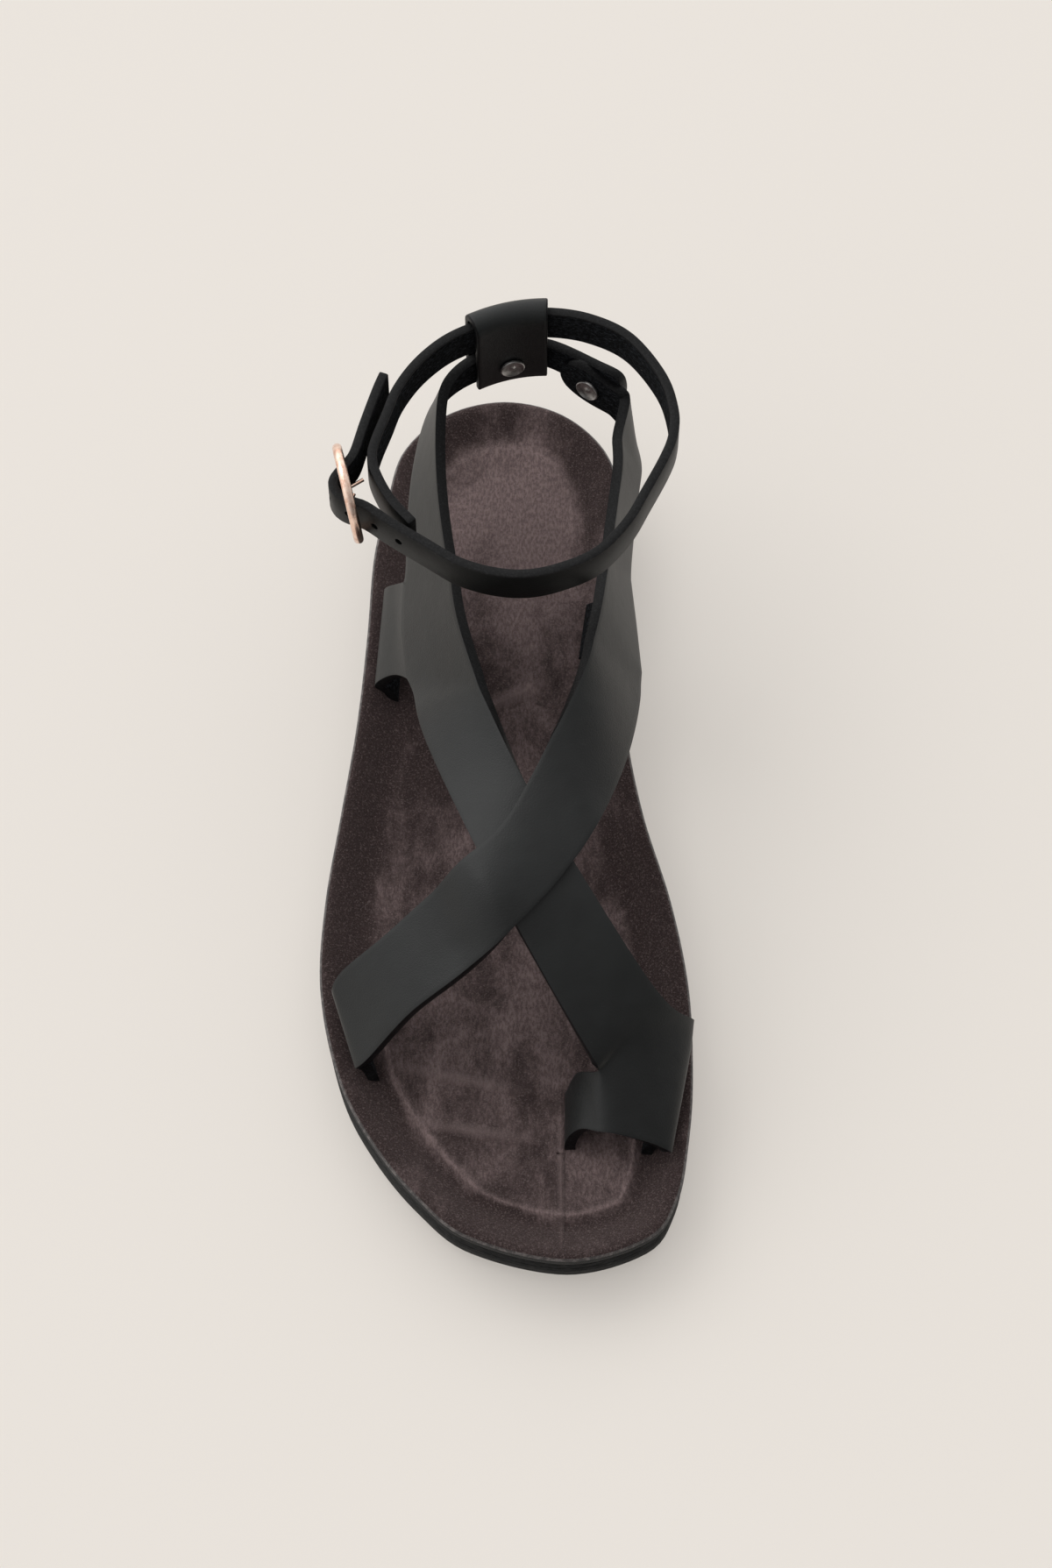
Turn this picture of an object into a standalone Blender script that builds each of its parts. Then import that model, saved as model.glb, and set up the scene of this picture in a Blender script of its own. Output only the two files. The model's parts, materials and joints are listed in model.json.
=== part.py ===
"""Ankle strap sandal, one right shoe, in metres with +Z up.

The origin is the middle of the heel's ground contact. The toe points to -Y,
the inner (medial) side of the foot is +X and the outer (lateral) side -X.
Places on the foot are given as shares of the named sizes: along the shoe from
the back of the heel, aside from its middle line and above the footbed.
"""
import math

import bmesh
import bpy
from mathutils import Matrix, Vector
from mathutils.bvhtree import BVHTree

# Sizes of the shoe
LENGTH = 0.2545
BALL_WIDTH = 0.0968
HEEL_WIDTH = 0.066
INSTEP = 0.050
HEEL_STACK = 0.020
FORE_STACK = 0.0125
TOE_LIFT = 0.0035
TOE_SPRING = 0.006
ARCH_RISE = 0.0025
ARCH_SUPPORT = 0.002
GAP = 0.0003

# Sizes of the sole layers
FOOTBED = 0.0045
FOOTBED_EDGE = 0.0028
RIM = 0.0035
OUTSOLE = 0.0035
TREAD_PITCH = 0.011
TREAD_GROOVE = 0.0030
TREAD_DEPTH = 0.0012
SIDE_RIB = 0.0005

# Sizes of the leather
LEATHER = 0.0028
WELD = 0.0004
LAY = 0.016
LAY_FLOOR = 0.045
ANKLE_LEATHER = 0.0026
ANKLE_HEIGHT = 0.011
ANKLE_RISE = 0.067
ANKLE_TOP = HEEL_STACK + ANKLE_RISE
ANKLE_SPAN = 0.080
HOLE_RADIUS = 0.0011
HOLE_PITCH = 0.0078
HOLES = 5
HOLES_START = 0.0535

# Sizes of the heel keeper, bent about a point ahead of it and turned sideways.
# Its middle line stands at a share of the half width and of the length, and
# the ankle ring's centre lies ahead of that by shares of the ring's span.
KEEPER_BACK = (0.0392, 0.0545)
KEEPER_TURN = -14.0
KEEPER_WIDTH = 0.0212
KEEPER_LEATHER = 0.0018
KEEPER_RADIUS = 0.0426
KEEPER_SPREAD = 0.0076
KEEPER_RIVET = HEEL_STACK + 0.96 * INSTEP
KEEPER_BELOW = 0.0068
KEEPER_FOOT = KEEPER_RIVET - KEEPER_BELOW
KEEPER_BEND = ANKLE_TOP - 0.0007
ANKLE_AHEAD = (0.0751, -0.4766)

# Sizes of the metal parts. The heel rivet's place is along, aside and above on
# strap A. The buckle's bar stands inside the ankle strap's outermost row.
RIVET_HEAD = 0.0034
RIVET_SHANK = 0.0015
RIVET_DOME = 0.0009
HEEL_RIVET = (0.0857, 0.712, 0.90)
BUCKLE_ROW = 31
BUCKLE_BEHIND = 0.0009
BUCKLE_LOW = 0.545
BUCKLE_FACING = (-0.972, -0.220, -0.080)
BUCKLE_RADIUS = 0.0134
BUCKLE_RIM = 0.0022
BUCKLE_DEPTH = 0.0018
BUCKLE_BAR = 0.0008
PRONG_WIRE = 0.0005
PRONG_REACH = (-0.0015, -0.0045, 0.0)

# Fineness of the mesh
RING_POINTS = 56
SHEET_ROUNDS = 2
ANKLE_STEPS = 68

# Outline of the sole: along, then aside on the lateral and the medial side,
# both as shares of half the ball width
OUTLINE = (
    (0.200, -0.750, 0.688),
    (0.300, -0.780, 0.672),
    (0.400, -0.829, 0.685),
    (0.500, -0.908, 0.775),
    (0.600, -0.984, 0.927),
    (0.700, -0.998, 1.015),
    (0.800, -0.885, 1.025),
    (0.870, -0.701, 0.994),
    (0.930, -0.460, 0.931),
    (0.975, -0.180, 0.800),
)
TIP_ASIDE = 0.34

# Footbed surface from the rim inwards: inset from the outline, lift above the bed
FOOTBED_TOP = (
    (0.0011, RIM - 0.0008),
    (0.0016, RIM - 0.0002),
    (0.0026, RIM),
    (0.0043, RIM - 0.0006),
    (0.0068, RIM * 0.45),
    (0.0095, RIM * 0.08),
    (0.0130, 0.0),
)
FOOTBED_UNDER = (
    (0.0011, RIM - FOOTBED_EDGE),
    (0.0032, RIM - FOOTBED_EDGE),
    (0.0042, -FOOTBED),
)

# Each strap row runs from its upper edge to its lower edge:
# along, aside, above of the upper edge, then the same of the lower edge
STRAP_A = (
    (0.745, 0.899, -0.04, 0.798, 0.880, -0.04),
    (0.745, 0.907, 0.10, 0.796, 0.893, 0.09),
    (0.750, 1.023, 0.25, 0.786, 1.001, 0.25),
    (0.754, 0.937, 0.41, 0.807, 0.776, 0.39),
    (0.746, 0.839, 0.53, 0.821, 0.524, 0.45),
    (0.730, 0.747, 0.63, 0.802, 0.436, 0.55),
    (0.683, 0.545, 0.83, 0.729, 0.174, 0.79),
    (0.598, 0.256, 0.99, 0.666, -0.023, 0.94),
    (0.540, 0.082, 1.02, 0.592, -0.203, 0.92),
    (0.477, -0.080, 1.02, 0.478, -0.473, 0.72),
    (0.451, -0.148, 1.01, 0.419, -0.582, 0.57),
    (0.433, -0.185, 1.00, 0.388, -0.662, 0.47),
    (0.377, -0.306, 0.97, 0.323, -0.771, 0.42),
    (0.335, -0.371, 0.95, 0.276, -0.791, 0.46),
    (0.315, -0.401, 0.94, 0.257, -0.782, 0.50),
    (0.220, -0.528, 0.93, 0.180, -0.773, 0.60),
    (0.127, -0.546, 0.96, 0.105, -0.663, 0.68),
    (0.089, -0.474, 1.01, 0.080, -0.502, 0.80),
    (0.064, -0.252, 1.04, 0.064, -0.252, 0.85),
    (0.049, 0.064, 1.04, 0.049, 0.064, 0.85),
    (0.045, 0.376, 1.04, 0.045, 0.376, 0.85),
    (0.070, 0.781, 1.02, 0.072, 0.744, 0.81),
    (0.087, 0.988, 1.00, 0.089, 0.973, 0.80),
)
# Front edge of the toe loop beside the first five rows of strap A
TOE_EDGE = (
    (0.872, 0.798, -0.05),
    (0.874, 0.818, 0.06),
    (0.885, 0.897, 0.13),
    (0.882, 0.793, 0.22),
    (0.877, 0.584, 0.30),
)
TOE_LOOP = (
    (0.817, 0.452, 0.38, 0.873, 0.488, 0.28),
    (0.810, 0.384, 0.27, 0.866, 0.406, 0.22),
    (0.816, 0.335, 0.09, 0.869, 0.333, 0.08),
    (0.810, 0.336, -0.04, 0.863, 0.335, -0.05),
)
# Lateral tab of strap A, hanging from its rows 11, 12 and 13
TAB_A = (
    (0.367, -0.801, 0.30, 0.263, -0.877, 0.32),
    (0.362, -0.934, 0.13, 0.252, -0.978, 0.16),
    (0.363, -0.851, 0.04, 0.251, -0.900, 0.03),
    (0.363, -0.841, -0.05, 0.251, -0.888, -0.05),
)
TAB_A_ROWS = (11, 12, 13)
STRAP_B = (
    (0.709, -0.868, -0.05, 0.791, -0.727, -0.05),
    (0.708, -0.880, 0.08, 0.791, -0.744, 0.06),
    (0.720, -0.915, 0.25, 0.794, -0.789, 0.15),
    (0.707, -0.869, 0.37, 0.791, -0.709, 0.27),
    (0.691, -0.671, 0.57, 0.766, -0.486, 0.55),
    (0.661, -0.422, 0.75, 0.737, -0.192, 0.75),
    (0.617, -0.074, 1.01, 0.681, 0.188, 0.95),
    (0.565, 0.123, 1.07, 0.643, 0.352, 0.98),
    (0.516, 0.277, 1.10, 0.602, 0.496, 0.99),
    (0.446, 0.495, 1.08, 0.515, 0.707, 0.80),
    (0.407, 0.590, 1.04, 0.435, 0.869, 0.58),
    (0.392, 0.623, 1.02, 0.408, 0.914, 0.52),
    (0.365, 0.680, 0.99, 0.387, 0.948, 0.49),
    (0.334, 0.740, 0.96, 0.330, 0.984, 0.48),
    (0.305, 0.793, 0.93, 0.281, 0.996, 0.52),
    (0.288, 0.828, 0.93, 0.252, 1.031, 0.55),
    (0.218, 0.932, 0.92, 0.182, 1.109, 0.62),
    (0.171, 0.964, 0.93, 0.142, 1.110, 0.65),
    (0.112, 0.922, 0.98, 0.107, 0.923, 0.74),
    (0.090, 0.823, 1.00, 0.093, 0.837, 0.77),
    (0.070, 0.539, 1.02, 0.068, 0.542, 0.83),
)
# Medial tab of strap B, hanging from its rows 12, 13 and 14
TAB_B = (
    (0.365, 0.888, 0.29, 0.279, 0.949, 0.32),
    (0.334, 0.744, 0.12, 0.265, 0.821, 0.12),
    (0.320, 0.653, 0.00, 0.255, 0.755, 0.00),
    (0.320, 0.647, -0.05, 0.255, 0.749, -0.05),
)
TAB_B_ROWS = (12, 13, 14)

# Ankle strap, seen from above, from its inner end round the heel to its tip:
# aside and along from the ring's centre, as shares of the ring's span
ANKLE_PATH = (
    (-0.394, -0.331),
    (-0.469, -0.239),
    (-0.519, -0.139),
    (-0.534, -0.068),
    (-0.523, -0.005),
    (-0.489, 0.096),
    (-0.455, 0.195),
    (-0.392, 0.298),
    (-0.306, 0.386),
    (-0.211, 0.443),
    (-0.074, 0.494),
    (0.059, 0.509),
    (0.202, 0.483),
    (0.338, 0.405),
    (0.445, 0.250),
    (0.484, 0.110),
    (0.480, 0.010),
    (0.452, -0.075),
    (0.391, -0.200),
    (0.325, -0.325),
    (0.225, -0.440),
    (0.100, -0.503),
    (-0.016, -0.529),
    (-0.130, -0.519),
    (-0.243, -0.480),
    (-0.343, -0.414),
    (-0.461, -0.334),
    (-0.539, -0.275),
    (-0.576, -0.259),
    (-0.611, -0.244),
    (-0.640, -0.219),
    (-0.657, -0.182),
    (-0.653, -0.148),
    (-0.633, -0.115),
    (-0.611, -0.085),
    (-0.589, -0.046),
    (-0.560, 0.062),
    (-0.520, 0.195),
    (-0.498, 0.256),
)


def share(value, start, end):
    """Smooth step from 0 at start to 1 at end."""
    part = min(max((value - start) / (end - start), 0.0), 1.0)
    return part * part * (3.0 - 2.0 * part)


def station_of(y):
    """Share of the length, from the back of the heel, at y."""
    return (HEEL_WIDTH / 2 - y) / LENGTH


def half_width(station):
    """Half the width the straps are measured against."""
    return (HEEL_WIDTH + (BALL_WIDTH - HEEL_WIDTH) * share(station, 0.20, 0.65)) / 2


def bed_height(x, y):
    """Height of the footbed's surface inside its rim."""
    station = station_of(y)
    height = HEEL_STACK + (FORE_STACK - HEEL_STACK) * share(station, 0.25, 0.62)
    height += TOE_LIFT * max(station - 0.78, 0.0) ** 2 / 0.22 ** 2
    arch = share(station, 0.22, 0.40) * (1.0 - share(station, 0.46, 0.64))
    return height + ARCH_SUPPORT * arch * share(x / half_width(station), 0.1, 0.9)


def ground_height(y):
    """Height of the outsole's underside: flat heel and ball, arch, toe spring."""
    station = station_of(y)
    arch = share(station, 0.27, 0.40) * (1.0 - share(station, 0.50, 0.61))
    return ARCH_RISE * arch + TOE_SPRING * max(station - 0.80, 0.0) ** 2 / 0.20 ** 2


def place(along, aside, above):
    """Point given in shares of the length, the half width and the instep."""
    y = HEEL_WIDTH / 2 - along * LENGTH
    x = aside * half_width(along)
    return Vector((x, y, bed_height(x, y) + above * INSTEP))


def spline(points, steps, closed):
    """Smooth curve through the points, steps pieces between each two."""
    count = len(points)
    found = []
    for index in range(count if closed else count - 1):
        if closed:
            before, start = points[index - 1], points[index]
            end, after = points[(index + 1) % count], points[(index + 2) % count]
        else:
            start, end = points[index], points[index + 1]
            before = points[index - 1] if index else start * 2 - end
            after = points[index + 2] if index + 2 < count else end * 2 - start
        for step in range(steps):
            t = step / steps
            found.append(0.5 * (
                2 * start
                + (end - before) * t
                + (2 * before - 5 * start + 4 * end - after) * t ** 2
                + (3 * start - before - 3 * end + after) * t ** 3))
    if not closed:
        found.append(points[-1].copy())
    return found


def even(points, count):
    """The polyline cut into count equal pieces, without its last point."""
    reach = [0.0]
    for start, end in zip(points, points[1:]):
        reach.append(reach[-1] + (end - start).length)
    found = []
    place_at = 0
    for index in range(count):
        goal = reach[-1] * index / count
        while reach[place_at + 1] < goal:
            place_at += 1
        span = reach[place_at + 1] - reach[place_at]
        part = (goal - reach[place_at]) / span
        found.append(points[place_at].lerp(points[place_at + 1], part))
    return found


def outline_ring(count):
    """Outline of the sole, from the back of the heel round the lateral side."""
    radius = HEEL_WIDTH / 2
    arc = [Vector((-radius * math.sin(math.radians(a)), radius * math.cos(math.radians(a)), 0.0))
           for a in (0, 30, 60, 90)]
    lateral = [Vector((row[1] * BALL_WIDTH / 2, HEEL_WIDTH / 2 - row[0] * LENGTH, 0.0))
               for row in OUTLINE]
    medial = [Vector((row[2] * BALL_WIDTH / 2, HEEL_WIDTH / 2 - row[0] * LENGTH, 0.0))
              for row in OUTLINE]
    tip = Vector((TIP_ASIDE * BALL_WIDTH / 2, HEEL_WIDTH / 2 - LENGTH, 0.0))
    arc_back = [Vector((-p.x, p.y, 0.0)) for p in reversed(arc[1:])]
    points = arc + lateral + [tip] + medial[::-1] + arc_back
    steps = 12
    dense = spline(points, steps, True)
    toe = (len(arc) + len(lateral)) * steps
    return even(dense[:toe + 1], count // 2) + even(dense[toe:] + dense[:1], count // 2)


def inset_ring(ring, amount):
    """The ring moved inwards by the amount, square to itself."""
    count = len(ring)
    found = []
    for index, point in enumerate(ring):
        run = (ring[(index + 1) % count] - ring[index - 1]).normalized()
        found.append(point + Vector((-run.y, run.x, 0.0)) * amount)
    return found


def narrowed_ring(ring, part):
    """The ring drawn towards the middle line of the foot."""
    count = len(ring)
    found = []
    for index, point in enumerate(ring):
        other = ring[(count - index) % count]
        middle = (point + other) / 2
        middle.y = min(max(middle.y, -LENGTH + HEEL_WIDTH), 0.0)
        found.append(point.lerp(middle, part))
    return found


def raised(ring, height):
    """The ring with each point at height(x, y)."""
    return [Vector((p.x, p.y, height(p.x, p.y))) for p in ring]


def material_of(name, colour, roughness, metallic):
    """One plain surface."""
    found = bpy.data.materials.new(name)
    found.use_nodes = True
    shader = found.node_tree.nodes["Principled BSDF"]
    shader.inputs["Base Color"].default_value = (*colour, 1.0)
    shader.inputs["Roughness"].default_value = roughness
    shader.inputs["Metallic"].default_value = metallic
    found.diffuse_color = (*colour, 1.0)
    return found


def part_from(name, points, faces, material=None):
    """A linked object from points and faces."""
    mesh = bpy.data.meshes.new(name)
    mesh.from_pydata([tuple(p) for p in points], [], faces)
    found = bpy.data.objects.new(name, mesh)
    bpy.context.scene.collection.objects.link(found)
    if material:
        mesh.materials.append(material)
    return found


def outward(part):
    """Turn the faces of a closed part outwards."""
    form = bmesh.new()
    form.from_mesh(part.data)
    bmesh.ops.remove_doubles(form, verts=form.verts, dist=0.00002)
    bmesh.ops.recalc_face_normals(form, faces=form.faces)
    form.to_mesh(part.data)
    form.free()
    return part


def apply_modifiers(part):
    """Put the result of the part's modifiers into its own mesh."""
    graph = bpy.context.evaluated_depsgraph_get()
    graph.update()
    made = bpy.data.meshes.new_from_object(part.evaluated_get(graph))
    part.modifiers.clear()
    old = part.data
    part.data = made
    bpy.data.meshes.remove(old)
    return part


def cut(part, tool, operation):
    """Join to or cut from the part, and remove the tool."""
    change = part.modifiers.new("cut", "BOOLEAN")
    change.operation = operation
    change.solver = "EXACT"
    change.object = tool
    tool.hide_render = True
    tool.display_type = "WIRE"
    apply_modifiers(part)
    bpy.data.objects.remove(tool)
    return part


def loft(name, rings, material):
    """Closed solid through the rings, its ends closed across the foot."""
    count = len(rings[0])
    points = [p for ring in rings for p in ring]
    faces = []
    for level in range(len(rings) - 1):
        for index in range(count):
            after = (index + 1) % count
            faces.append((level * count + index, level * count + after,
                          (level + 1) * count + after, (level + 1) * count + index))
    for level in (0, len(rings) - 1):
        first = level * count
        for index in range(1, count // 2 - 1):
            faces.append((first + index, first + index + 1,
                          first + count - index - 1, first + count - index))
        faces.append((first, first + 1, first + count - 1))
        tip = first + count // 2
        faces.append((tip, tip + 1, tip - 1))
    return outward(part_from(name, points, faces, material))


def make_footbed(material):
    """Shaped insole with a raised rim."""
    outline = outline_ring(RING_POINTS)
    rings = []
    for inset, lift in FOOTBED_UNDER[::-1]:
        rings.append(raised(inset_ring(outline, inset), lambda x, y: bed_height(x, y) + lift))
    for inset, lift in FOOTBED_TOP:
        rings.append(raised(inset_ring(outline, inset), lambda x, y: bed_height(x, y) + lift))
    inner = inset_ring(outline, FOOTBED_TOP[-1][0])
    under = inset_ring(outline, FOOTBED_UNDER[-1][0])
    rings.append(raised(narrowed_ring(inner, 0.35), bed_height))
    rings.append(raised(narrowed_ring(inner, 0.75), bed_height))
    rings.insert(0, raised(narrowed_ring(under, 0.5), lambda x, y: bed_height(x, y) - FOOTBED))
    return loft("footbed", rings, material)


def make_midsole(material):
    """Ribbed wall and filling between the footbed and the outsole."""
    outline = outline_ring(RING_POINTS)

    def low(x, y):
        return ground_height(y) + OUTSOLE + GAP

    def high(x, y):
        return bed_height(x, y) + RIM - FOOTBED_EDGE - GAP

    def bed_under(x, y):
        return bed_height(x, y) - FOOTBED - GAP

    lip = inset_ring(outline, FOOTBED_UNDER[1][0] - GAP)
    floor = inset_ring(outline, FOOTBED_UNDER[2][0] - GAP)
    rings = [raised(narrowed_ring(floor, 0.5), bed_under), raised(floor, bed_under),
             raised(lip, high)]
    ribs = ((1.0, 0.0), (0.86, 0.0), (0.80, 1.0), (0.62, 1.0), (0.56, 0.0),
            (0.40, 0.0), (0.34, 1.0), (0.16, 1.0), (0.10, 0.0), (0.0, 0.0))
    for part, rib in ribs:
        side = inset_ring(outline, 0.0004 + 0.0007 * part + SIDE_RIB * rib)
        rings.append(raised(side, lambda x, y: low(x, y) + (high(x, y) - low(x, y)) * part))
    return loft("midsole", rings, material)


def make_outsole(material):
    """Walking sole with its tread grooves."""
    outline = outline_ring(RING_POINTS)

    rings = []
    for inset, lift in ((0.0002, OUTSOLE), (0.0, OUTSOLE * 0.55), (0.0004, 0.0010), (0.0014, 0.0)):
        rings.append(raised(inset_ring(outline, inset), lambda x, y: ground_height(y) + lift))
    sole = loft("outsole", rings, material)
    points = []
    faces = []
    box = ((0, 1, 2, 3), (7, 6, 5, 4), (0, 4, 5, 1), (1, 5, 6, 2), (2, 6, 7, 3), (3, 7, 4, 0))
    for index in range(-3, 23):
        y = TREAD_PITCH / 2 - TREAD_PITCH * index
        near, far = y + TREAD_GROOVE / 2, y - TREAD_GROOVE / 2
        first = len(points)
        for z_near, z_far in ((-0.002, -0.002),
                              (ground_height(near) + TREAD_DEPTH, ground_height(far) + TREAD_DEPTH)):
            points += [Vector((-0.06, near, z_near)), Vector((0.06, near, z_near)),
                       Vector((0.06, far, z_far)), Vector((-0.06, far, z_far))]
        faces += [tuple(first + corner for corner in face) for face in box]
    cut(sole, outward(part_from("tread_tool", points, faces)), "DIFFERENCE")
    return sole


def edge_pairs(table):
    """Upper and lower edge points of a table of rows."""
    return [(place(*row[:3]), place(*row[3:])) for row in table]


def tab_grid(strap, rows, table):
    """Grid of a tab, its first row on the strap's lower edge."""
    grid = [[strap[row][-1] for row in rows]]
    for front, rear in edge_pairs(table):
        grid.append([front, (front + rear) / 2, rear])
    return grid


def grids_a():
    """Grids of strap A, its toe loop and its lateral tab."""
    strap = edge_pairs(STRAP_A)
    beside = [(strap[index][-1], place(*edge)) for index, edge in enumerate(TOE_EDGE)]
    return [strap, beside + edge_pairs(TOE_LOOP), tab_grid(strap, TAB_A_ROWS, TAB_A)]


def grids_b():
    """Grids of strap B and its medial tab."""
    strap = edge_pairs(STRAP_B)
    return [strap, tab_grid(strap, TAB_B_ROWS, TAB_B)]


def cage_of(grids):
    """Points and faces of the grids, with shared points used once."""
    points = []
    faces = []
    index = {}

    def number(point):
        key = tuple(round(value, 7) for value in point)
        if key not in index:
            index[key] = len(points)
            points.append(point.copy())
        return index[key]

    for grid in grids:
        for row, after in zip(grid, grid[1:]):
            for column in range(len(row) - 1):
                faces.append((number(row[column]), number(row[column + 1]),
                              number(after[column + 1]), number(after[column])))
    return points, faces


def smoothed(points, faces, rounds):
    """The cage's smooth surface as points and faces."""
    sheet = part_from("sheet", points, faces)
    change = sheet.modifiers.new("smooth", "SUBSURF")
    change.levels = round(rounds)
    change.render_levels = round(rounds)
    change.use_limit_surface = True
    change.boundary_smooth = "ALL"
    apply_modifiers(sheet)
    found = [vertex.co.copy() for vertex in sheet.data.vertices]
    shape = [tuple(face.vertices) for face in sheet.data.polygons]
    bpy.data.objects.remove(sheet)
    return found, shape


def fitted_sheet(grids, loose, rounds):
    """Smooth surface through all the cage's points but the loose corners."""
    points, faces = cage_of(grids)
    free = {index for index, point in enumerate(points)
            if any((point - corner).length < 1e-6 for corner in loose)}
    control = [point.copy() for point in points]
    for _ in range(6):
        surface, _shape = smoothed(control, faces, 1)
        for index, point in enumerate(points):
            if index not in free:
                control[index] += (point - surface[index]) * 0.8
    return smoothed(control, faces, rounds)


def consistent(points, faces):
    """Faces of a sheet all turned away from the foot."""
    form = bmesh.new()
    corners = [form.verts.new(point) for point in points]
    for face in faces:
        form.faces.new([corners[index] for index in face])
    bmesh.ops.recalc_face_normals(form, faces=form.faces)
    form.normal_update()
    facing = 0.0
    for face in form.faces:
        middle = face.calc_center_median()
        inside = Vector((0.0, middle.y, bed_height(0.0, middle.y) + 0.3 * INSTEP))
        facing += face.normal.dot(middle - inside) * face.calc_area()
    form.verts.index_update()
    found = [tuple(corner.index for corner in face.verts) for face in form.faces]
    form.free()
    if facing < 0:
        found = [face[::-1] for face in found]
    return found


def laid_on(points, under_points, under_faces):
    """Points moved to lie on the other strap where the two cross.

    Over the instep the points lie outside the other strap and behind the
    ankle inside it.
    """
    tree = BVHTree.FromPolygons(under_points, under_faces)
    found = []
    for point in points:
        near, normal, _index, _distance = tree.find_nearest(point)
        if point.z < LAY_FLOOR:
            found.append(point)
            continue
        depth = (point - near).dot(normal)
        aside = (point - near - normal * depth).length
        weight = share(LAY - aside, 0.0, LAY) * share(LAY - abs(depth), 0.0, LAY / 2)
        goal = LEATHER - WELD
        if point.y > -LAY:
            goal = -goal
        elif point.y > -LAY * 4:
            weight = 0.0
        found.append(point + normal * (goal - depth) * weight)
    return found


def thickened(name, points, faces, thickness, material):
    """Solid of the given thickness behind the sheet."""
    part = part_from(name, points, faces, material)
    change = part.modifiers.new("leather", "SOLIDIFY")
    change.thickness = thickness
    change.offset = -1.0
    change.use_even_offset = True
    change.use_rim = True
    apply_modifiers(part)
    return outward(part)


def make_upper(material):
    """The two crossing straps with the toe loop and both tabs, as one piece."""
    first, second = grids_a(), grids_b()
    loose_a = [first[0][row][-1] for row in (TAB_A_ROWS[0], TAB_A_ROWS[-1], 4)]
    loose_b = [second[0][row][-1] for row in (TAB_B_ROWS[0], TAB_B_ROWS[-1])]
    points_a, faces_a = fitted_sheet(first, loose_a, SHEET_ROUNDS)
    points_b, faces_b = fitted_sheet(second, loose_b, SHEET_ROUNDS)
    faces_a = consistent(points_a, faces_a)
    faces_b = consistent(points_b, faces_b)
    points_b = laid_on(points_b, points_a, faces_a)
    upper = thickened("upper", points_a, faces_a, LEATHER, material)
    over = thickened("upper_over", points_b, faces_b, LEATHER, material)
    cut(upper, over, "UNION")
    tree = BVHTree.FromPolygons(points_a, faces_a)
    seat, facing, _index, _distance = tree.find_nearest(place(*HEEL_RIVET))
    return outward(upper), seat, facing


def grown(part, amount):
    """Copy of the part, larger by the amount all round."""
    tool = bpy.data.objects.new("tool", part.data.copy())
    bpy.context.scene.collection.objects.link(tool)
    form = bmesh.new()
    form.from_mesh(tool.data)
    form.normal_update()
    moved = []
    for corner in form.verts:
        shell = corner.calc_shell_factor()
        moved.append((corner, corner.co + corner.normal * amount * min(shell, 1.6)))
    for corner, goal in moved:
        corner.co = goal
    form.to_mesh(tool.data)
    form.free()
    return tool


def keeper_back():
    """Place of the keeper's rivet on its middle line."""
    return Vector((KEEPER_BACK[0] * HEEL_WIDTH / 2, HEEL_WIDTH / 2 - KEEPER_BACK[1] * LENGTH,
                   KEEPER_RIVET))


def ankle_centre():
    """Centre of the ankle ring at the strap's upper edge."""
    back = keeper_back()
    return Vector((back.x + ANKLE_AHEAD[0] * ANKLE_SPAN, back.y + ANKLE_AHEAD[1] * ANKLE_SPAN,
                   ANKLE_TOP))


def ankle_line():
    """Outer face of the ankle strap, seen from above."""
    centre = ankle_centre()
    rows = [Vector((centre.x + row[0] * ANKLE_SPAN, centre.y + row[1] * ANKLE_SPAN, 0.0))
            for row in ANKLE_PATH]
    dense = spline(rows, 8, False)
    return even(dense, ANKLE_STEPS) + [dense[-1]]


def point_at(line, reach):
    """Place on the line and its run, at a distance from its first point."""
    for start, end in zip(line, line[1:]):
        span = (end - start).length
        if reach <= span:
            break
        reach -= span
    return start.lerp(end, reach / span), (end - start) / span


def make_ankle_strap(material):
    """Band wound round the ankle, with its punched holes."""
    line = ankle_line()
    points = []
    faces = []
    for index, point in enumerate(line):
        points += [Vector((point.x, point.y, ANKLE_TOP - ANKLE_HEIGHT)),
                   Vector((point.x, point.y, ANKLE_TOP))]
        if index:
            faces.append((index * 2 - 2, index * 2 - 1, index * 2 + 1, index * 2))
    band = thickened("ankle_strap", points, consistent(points, faces), ANKLE_LEATHER, material)
    for number in range(HOLES):
        centre, run = point_at(line[::-1], HOLES_START - number * HOLE_PITCH)
        centre.z = ANKLE_TOP - ANKLE_HEIGHT / 2
        tool = turned("hole_tool", ((0.0, -0.004), (HOLE_RADIUS, -0.004), (HOLE_RADIUS, 0.004),
                                    (0.0, 0.004)), centre, Vector((run.y, -run.x, 0.0)), 10)
        cut(band, tool, "DIFFERENCE")
    return outward(band)


def turned(name, profile, centre, axis, segments, material=None):
    """Solid of revolution: profile of (radius, height) about the axis."""
    turn = Vector((0.0, 0.0, 1.0)).rotation_difference(axis).to_matrix().to_4x4()
    frame = Matrix.Translation(centre) @ turn
    points = []
    faces = []
    for radius, height in profile:
        for step in range(segments):
            angle = 2 * math.pi * step / segments
            points.append(frame @ Vector((radius * math.cos(angle), radius * math.sin(angle), height)))
    for level in range(len(profile) - 1):
        for step in range(segments):
            after = (step + 1) % segments
            corners = (level * segments + step, level * segments + after,
                       (level + 1) * segments + after, (level + 1) * segments + step)
            if profile[level][0] == 0.0:
                corners = corners[1:]
            if profile[level + 1][0] == 0.0:
                corners = corners[:3]
            faces.append(corners)
    return outward(part_from(name, points, faces, material))


def keeper_frame():
    """Centre of the keeper's bend at its rivet's height, and its way back."""
    turn = math.radians(KEEPER_TURN)
    back = Vector((math.sin(turn), math.cos(turn), 0.0))
    return keeper_back() - back * KEEPER_RADIUS, back


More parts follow.
